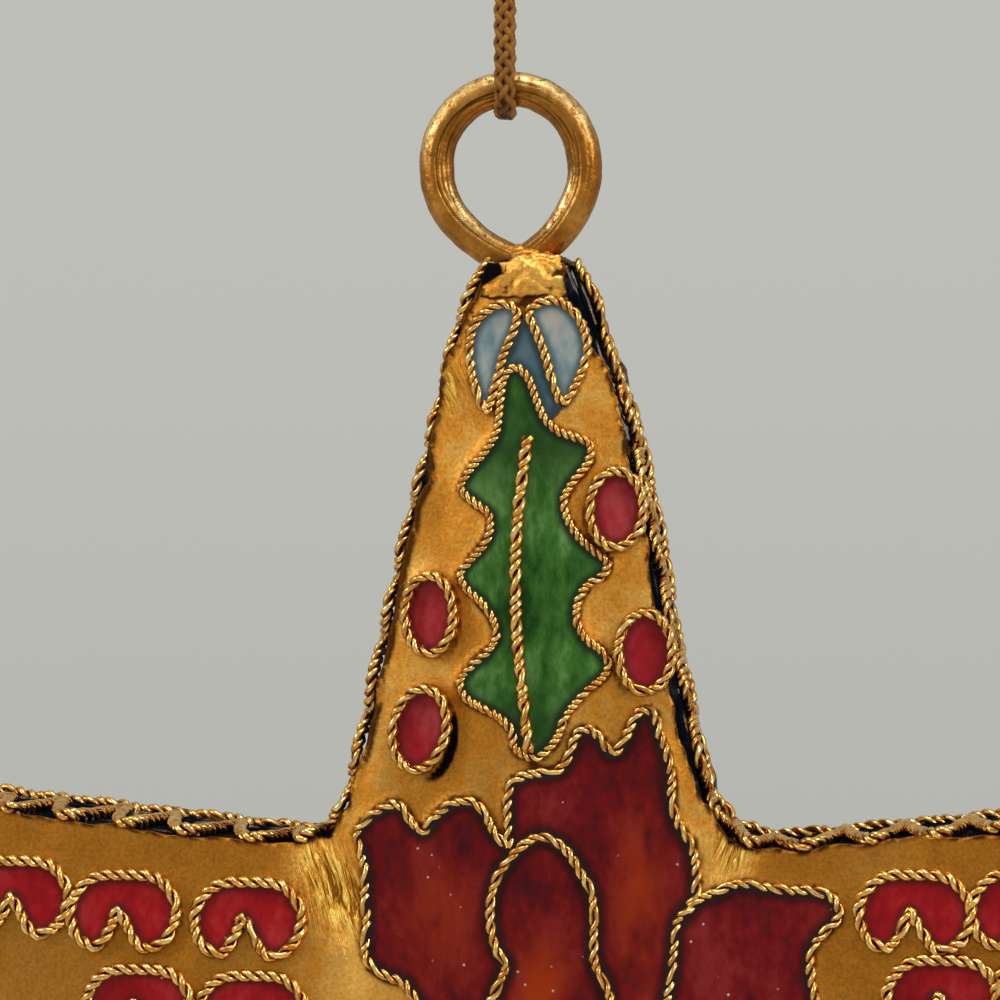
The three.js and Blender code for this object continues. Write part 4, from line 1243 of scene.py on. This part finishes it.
# %% Fill the face with enamel
leaf_nodes = [f"holly_leaf_{p}" for p in places]
berry_nodes = [f"berry_{i + 1}" for i in range(len(BERRIES))]
petal_nodes = [f"petal_{i + 1}" for i in range(len(PETAL_CELLS))]
for name, outlines, material, slot, nodes, glow in (
    ("leaf_enamel_front", on_holly_arms(LEAF), LEAF_GREEN, "green_enamel", leaf_nodes, leaf_shade),
    ("berry_enamel_front", on_holly_arms(*BERRY_LOOPS), BERRY_RED, "bright_red_enamel", berry_nodes, None),
    ("drop_enamel_front", on_holly_arms(DROP_LEFT, DROP_RIGHT), DROP_BLUE, "pale_blue_enamel",
     ["drop_left", "drop_right"], drop_glow),
    ("wedge_enamel_front", on_holly_arms(WEDGE), WEDGE_BLUE, "pale_blue_enamel", [], None),
    ("petal_enamel_front", PETAL_CELLS, PETAL_RED, "dark_red_enamel", petal_nodes, petal_glow),
    ("cloud_enamel_front", CLOUD_LOOPS, CLOUD_RED, "bright_red_enamel", [], None),
    ("centre_enamel_front", [CENTRE_LOOP], CENTRE_YELLOW, "yellow_enamel", ["flower_centre"], None),
):
    on_both_faces(enamel_cells(name, outlines, material, glow), nodes)

# %% [markdown]
# ## The walls
# The side walls are covered in navy enamel that looks black from most angles and grey-blue where it
# catches the light. The solid's shape is right here, so it stays and only gets its finish.

# %% Wall finishes
def wall_glass():
    material, tree, shader = finish_tree("wall_navy")
    place = object_place(tree)
    broad = clouds(place, 420.0, 3.0, 0.5)
    fine = clouds(place, 2600.0, 4.0, 0.65)
    colour = ramp(
        maths("MULTIPLY_ADD", fine, 0.5, broad),
        (0.5, (0.002, 0.003, 0.005)), (0.88, (0.005, 0.007, 0.012)), (1.0, (0.05, 0.062, 0.068)),
    )
    plug(shader, {
        "Base Color": colour, "Roughness": stretch(fine, 0.3, 0.7, 0.08, 0.3),
        "Specular IOR Level": stretch(broad, 0.52, 0.64, 0.0, 0.3), "Normal": bump(fine, 0.3, 0.0001),
    })
    return material


dress(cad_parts["wall_enamel"], wall_glass())
for k in range(ARMS):
    dress(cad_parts[f"wall_{k + 1}"], GILT_SHEET)
print("walls dressed")

# %% [markdown]
# ## The ring
# The ring is thick drawn wire, bent to a circle whose ends run down and meet in a V. A circle is spun all
# the way round, and its lower half is drawn out to the V. Drawing leaves long grooves in the wire, and
# soldering left it pitted, so the surface is then pushed in along lines that run with the wire.

# %% Spin the ring
RING_R, RING_WIRE = 3.33, 0.78
BASE_RISE = 4.4
RING_LEAN = math.radians(7)
RING_FOOT = Vector((-0.68, 0, TIP_R + 0.33))


def ring_finish():
    material, tree, shader = finish_tree("ring_gilt_worn_and_highlit")
    place = object_place(tree)
    broad = clouds(place, 500.0, 3.0, 0.5)
    pits = clouds(place, 3200.0, 4.0, 0.65)
    colour = ramp(
        maths("MULTIPLY_ADD", pits, 0.5, broad),
        (0.55, (0.23, 0.088, 0.012)), (0.8, (0.39, 0.155, 0.023)), (1.0, (0.60, 0.28, 0.055)),
    )
    # Painted shade in the grooves.
    colour = mix(stretch(kept(tree, "groove"), 0.2, 0.95), colour, (0.085, 0.030, 0.005))
    # Painted highlight, pale yellow, on the outer flanks of the ring's upper part and the inner flanks of
    # its lower part.
    ring_highlight = maths("MULTIPLY", kept(tree, "ring_highlight"), stretch(pits, 0.32, 0.6))
    colour = mix(ring_highlight, colour, (1.0, 0.72, 0.30))
    plug(shader, {
        "Base Color": colour, "Metallic": 1.0, "Roughness": stretch(pits, 0.3, 0.7, 0.46, 0.3),
        "Normal": bump(pits, 0.45, 0.0001),
    })
    return material


ring = primitive(
    "ring_wire", bpy.ops.mesh.primitive_circle_add, (0, 0, -RING_R), (0, math.pi / 2, 0),
    vertices=96, radius=RING_WIRE,
)
bpy.ops.object.mode_set(mode="EDIT")
bpy.ops.mesh.select_all(action="SELECT")
bpy.ops.mesh.spin(steps=150, angle=math.tau - 0.001, center=(0, 0, 0), axis=(0, 1, 0))
bpy.ops.mesh.select_all(action="DESELECT")
bpy.ops.mesh.select_non_manifold()
bpy.ops.mesh.edge_face_add()
bpy.ops.object.mode_set(mode="OBJECT")
print("spun ring", len(ring.data.polygons), "faces")

# %% Draw the ring out to a V and wear it
p = points_of(ring)
bearing = np.arctan2(p[:, 0], -p[:, 2])
from_middle = np.hypot(p[:, 0], p[:, 2]) - RING_R
around = np.arctan2(p[:, 1], from_middle)
groove = np.zeros(len(p))
# A groove is its place round the wire, its width and its depth.
GROOVES = [
    (2.5, 0.09, 1.0), (3.3, 0.07, 0.8), (-2.3, 0.10, 0.8), (-2.75, 0.06, 0.6), (-1.2, 0.10, 0.4),
    (-1.72, 0.08, 1.1), (-1.98, 0.06, 0.9), (1.4, 0.1, 0.6), (0.4, 0.08, 0.5), (-0.4, 0.07, 0.4),
]
GROOVE_DEEP, LUMPS, PITS = 0.09, 0.03, 0.014
for k, (at, wide, deep) in enumerate(GROOVES):
    drift = 0.22 * ripple(bearing * 1.1, k * 3.7, 0.5)
    apart = (around - at - drift + math.pi) % math.tau - math.pi
    worn = 0.7 + 0.7 * ripple(bearing * 1.6, k * 5.1, 9.0)
    groove += deep * np.clip(worn, 0, 1) * bell(apart, 0, wide)
groove = np.clip(groove, 0, 1)
lumpy = LUMPS * ripple(*(p * 1.3).T) + PITS * ripple(*(p * 4.0).T)
grown = 1 - GROOVE_DEEP * groove + lumpy / RING_WIRE
hand_bent = np.interp(
    np.degrees(np.abs(bearing)),
    (0, 10, 22, 33, 44, 55, 68, 90), (4.5, 4.22, 3.94, 3.73, 3.6, 3.53, 3.45, 3.33),
)
reach = hand_bent + from_middle * grown
x, z = reach * np.sin(bearing), -reach * np.cos(bearing)
floor_z = -BASE_RISE + 0.05
z = np.where(z < floor_z, floor_z + 0.15 * (z - floor_z), z)
move_points(ring, np.column_stack([x, p[:, 1] * grown, z + BASE_RISE]))
write_value(ring, "groove", groove)
# Where the ring's highlight is painted: the outer flanks of its upper part and the inner flanks of its lower
# part.
turned_out = bell(np.abs(around), 0.7, 0.5) * rise(np.abs(bearing), 1.6, 2.1)
turned_in = bell(np.abs(around), 2.4, 0.4) * bell(np.abs(bearing), 0.8, 0.45)
write_value(ring, "ring_highlight", np.clip(turned_out + turned_in, 0, 1))
bake_place(ring, RING_FOOT, (0, -RING_LEAN, 0))
face_out(ring)
bpy.ops.object.shade_smooth()
dress(ring, ring_finish())
settle(ring, STAR, "star", ("hanging_ring",))
print("ring", [round(x / MM, 2) for x in ring.dimensions])

# %% [markdown]
# ## The tip cap
# A scrap of gilt foil is folded over the tip and pressed down on both faces, and the ring is soldered to
# it. A grid is wrapped over the tip along its long way, its edge left uneven and its skin crumpled, and
# Solidify gives the foil its thickness.

# %% Fold the cap over the tip
CAP_FOOT, CAP_TOP = TIP_R - 1.55, TIP_R + 0.3
CAP_LIFT, FOIL = 0.1, 0.22
RAGGED, CRUMPLE, CORNER = 0.16, 0.15, 0.12
cap = primitive(
    "tip_foil", bpy.ops.mesh.primitive_grid_add, x_subdivisions=44, y_subdivisions=110, size=2,
)
grid = points_of(cap)
across, run = (grid[:, 0] + 1) / 2, grid[:, 1]
depth_top = RIM_Y + 0.55
half_way = CAP_TOP - CAP_FOOT + depth_top
at = np.abs(run) * half_way
on_top = at < depth_top
v = np.where(on_top, CAP_TOP, CAP_TOP - (at - depth_top))
left = np.interp(v - TIP_R, (-1.6, -1.05, -0.75, -0.45, 0.4), (-2.0, -1.95, -1.5, -0.95, -0.72))
right = np.interp(v - TIP_R, (-1.6, -0.7, 0.4), (1.85, 1.7, 1.55))
u = left + across * (right - left)
v = v - RAGGED * ripple(u * 1.7, 0.0, np.sign(run)) * rise(v, CAP_TOP, CAP_FOOT)
face_y = RIM_Y + height(u, np.minimum(v, TIP_R)) + CAP_LIFT
y = np.where(on_top, at / depth_top * face_y, face_y)
corner = bell(at, depth_top, 0.35)
side_y = np.where(run > 0, y, -y)
crumple = ripple(u * 1.5, v * 2.6, side_y * 1.5) + 0.6 * ripple(u * 4.0, v * 5.0, side_y * 4.0)
press = CRUMPLE * crumple * np.clip((v - CAP_FOOT) / 0.6, 0.25, 1)
y = y + press - CORNER * corner
v = v - CORNER * corner + np.where(on_top, press, 0)
move_points(cap, np.column_stack([u, np.where(run > 0, y, -y), v]))
# Soil and painted shade: darker at the foil's hem and in the hollows of its crumples.
hem = np.minimum(np.minimum(across, 1 - across) * 3.2, (1 - np.abs(run)) * half_way)
write_value(cap, "soil_and_shade", np.clip(fade(hem, 0.1) + 1.5 * np.clip(-crumple - 0.05, 0, 1), 0, 1.4))
face_out(cap, (0, 0, 1))
thicken(cap, FOIL)
dress(cap, GILT_SHEET)
settle(cap, STAR, "star", ("tip_cap",))
print("cap", len(cap.data.polygons), "faces")

# %% [markdown]
# ## The solder
# Solder ran between the ring's ends and the cap. Balls are set where it gathered, joined, and remeshed
# into one skin, which Blender's Smooth modifier then draws together like a liquid.

# %% Run the solder together
BLOBS = [
    ((-0.85, 0, 0.62), (0.85, 0.75, 0.42)), ((0.15, 0, 0.55), (0.95, 0.85, 0.38)),
    ((-1.75, 0.1, 0.62), (0.65, 0.6, 0.35)), ((-0.25, -0.75, 0.4), (0.95, 0.5, 0.42)),
    ((-0.2, 0.75, 0.4), (1.0, 0.5, 0.42)), ((0.75, 0, 0.4), (0.45, 0.9, 0.25)),
]
solder = joined("solder_lump", [
    primitive(
        "blob", bpy.ops.mesh.primitive_ico_sphere_add, (x, y, z + TIP_R), scale=size,
        subdivisions=4, radius=1,
    ) for (x, y, z), size in BLOBS
])
modify(solder, "REMESH", mode="VOXEL", voxel_size=0.06)
modify(solder, "SMOOTH", iterations=8)
p = points_of(solder)
x, y, z = p.T
rough = ripple(x * 2.2, y * 2.2, z * 3.0) + 0.5 * ripple(*(p * 6.0).T)
crease = bell(z, TIP_R + 0.55 + 0.08 * np.sin(2.6 * x) + 0.05 * np.sin(7.0 * x), 0.07)
lump_normals = np.array([v.normal for v in solder.data.vertices])
move_points(solder, p + (0.07 * rough - 0.11 * crease)[:, None] * lump_normals)
# Painted shade in the crease round the solder.
write_value(solder, "soil_and_shade", 0.9 * crease)
bpy.ops.object.shade_smooth()
dress(solder, GILT_SHEET)
settle(solder, STAR, "star", ("ring_solder",))
print("solder", len(solder.data.polygons), "faces")

# %% [markdown]
# ## Grains in the flower's middle
# Below the picture's edge the flower has a yellow middle. Small gold grains sit in it, as on flowers of
# this kind: flattened balls, one in the middle and six round it.

# %% Grains
GRAIN_R, GRAIN_RING = 0.42, 1.25
grains = joined("centre_grains_front", [
    primitive(
        "grain", bpy.ops.mesh.primitive_uv_sphere_add, on_face(np.array([place]), 0.2)[0],
        scale=(1, 0.75, 1), segments=20, ring_count=12, radius=GRAIN_R,
    ) for place in ellipse(MIDDLE, (GRAIN_RING, GRAIN_RING), count=6) + [MIDDLE]
])
bpy.ops.object.shade_smooth()
# Each grain counts as a strand's top, so the wire finish gives it its painted highlight all over.
write_value(grains, "proud", np.ones(len(grains.data.vertices)))
dress(grains, GILT_WIRE)
on_both_faces(grains, [])

# %% [markdown]
# ## Floor, background and light
# The star hangs in front of a plain pale ground. A floor lies below it and fades into the background, and
# three large soft lamps light it from the left, the right and above, as in a light tent.

# %% Stage
BACKGROUND, BACKGROUND_LOW = (0.518, 0.518, 0.483), (0.468, 0.470, 0.436)
FLOOR_GREY, SKY_GREY = (0.56, 0.56, 0.53), (0.62, 0.62, 0.62)
FLOOR_R, FLOOR_DROP = 0.6, 0.045
ground = primitive(
    "pale_floor", bpy.ops.mesh.primitive_circle_add, (0, 0, CAD_BOX[0].z - FLOOR_DROP),
    vertices=96, radius=FLOOR_R, fill_type="NGON",
)


def floor_finish():
    material, tree, shader = finish_tree("pale_floor")
    place = tree.nodes.new("ShaderNodeTexCoord").outputs["Object"]
    flat = add_node(tree, "ShaderNodeVectorMath", {0: place, 1: (1, 1, 0)}, operation="MULTIPLY")
    away = add_node(tree, "ShaderNodeVectorMath", {0: flat.outputs[0]}, operation="LENGTH")
    plug(shader, {
        "Base Color": FLOOR_GREY, "Roughness": 0.9, "Specular IOR Level": 0.1,
        "Alpha": stretch(away.outputs["Value"], 0.12, 0.42, 1.0, 0.0),
    })
    return material


dress(ground, floor_finish())
world = bpy.data.worlds.new("pale_studio")
bpy.context.scene.world = world
world.use_nodes = True
sky = world.node_tree
sky.nodes.clear()
seen = sky.nodes.new("ShaderNodeLightPath").outputs
shown = maths("MAXIMUM", seen["Is Camera Ray"], seen["Is Glossy Ray"])
shown = maths("MAXIMUM", shown, seen["Is Transmission Ray"])
way = sky.nodes.new("ShaderNodeTexCoord").outputs["Generated"]
up = add_node(sky, "ShaderNodeSeparateXYZ", {"Vector": way}).outputs["Z"]
backdrop = mix(stretch(up, -0.14, 0.1), BACKGROUND_LOW, BACKGROUND)
light, pale = (
    add_node(sky, "ShaderNodeBackground", {"Color": colour, "Strength": 1.0}).outputs[0]
    for colour in (SKY_GREY, backdrop)
)
both = add_node(sky, "ShaderNodeMixShader", {0: shown, 1: light, 2: pale}).outputs[0]
add_node(sky, "ShaderNodeOutputWorld", {"Surface": both})
print("stage ready")

# %% Lamps
for name, place, size, power in (
    ("left_lamp", (-0.52, -0.28, 0.24), 0.27, 1.2),
    ("right_lamp", (0.5, -0.3, 0.26), 0.27, 1.4),
    ("top_lamp", (0.0, -0.16, 0.58), 0.3, 1.6),
):
    deselect()
    bpy.ops.object.light_add(type="AREA", location=TARGET + Vector(place))
    lamp = bpy.context.object
    lamp.name = name
    lamp.data.shape = "DISK"
    lamp.data.size = size
    lamp.data.energy = power
    lamp.rotation_euler = Vector(place).to_track_quat("Z", "Y").to_euler()
bpy.context.scene.view_settings.view_transform = "Standard"
print("lamps ready")
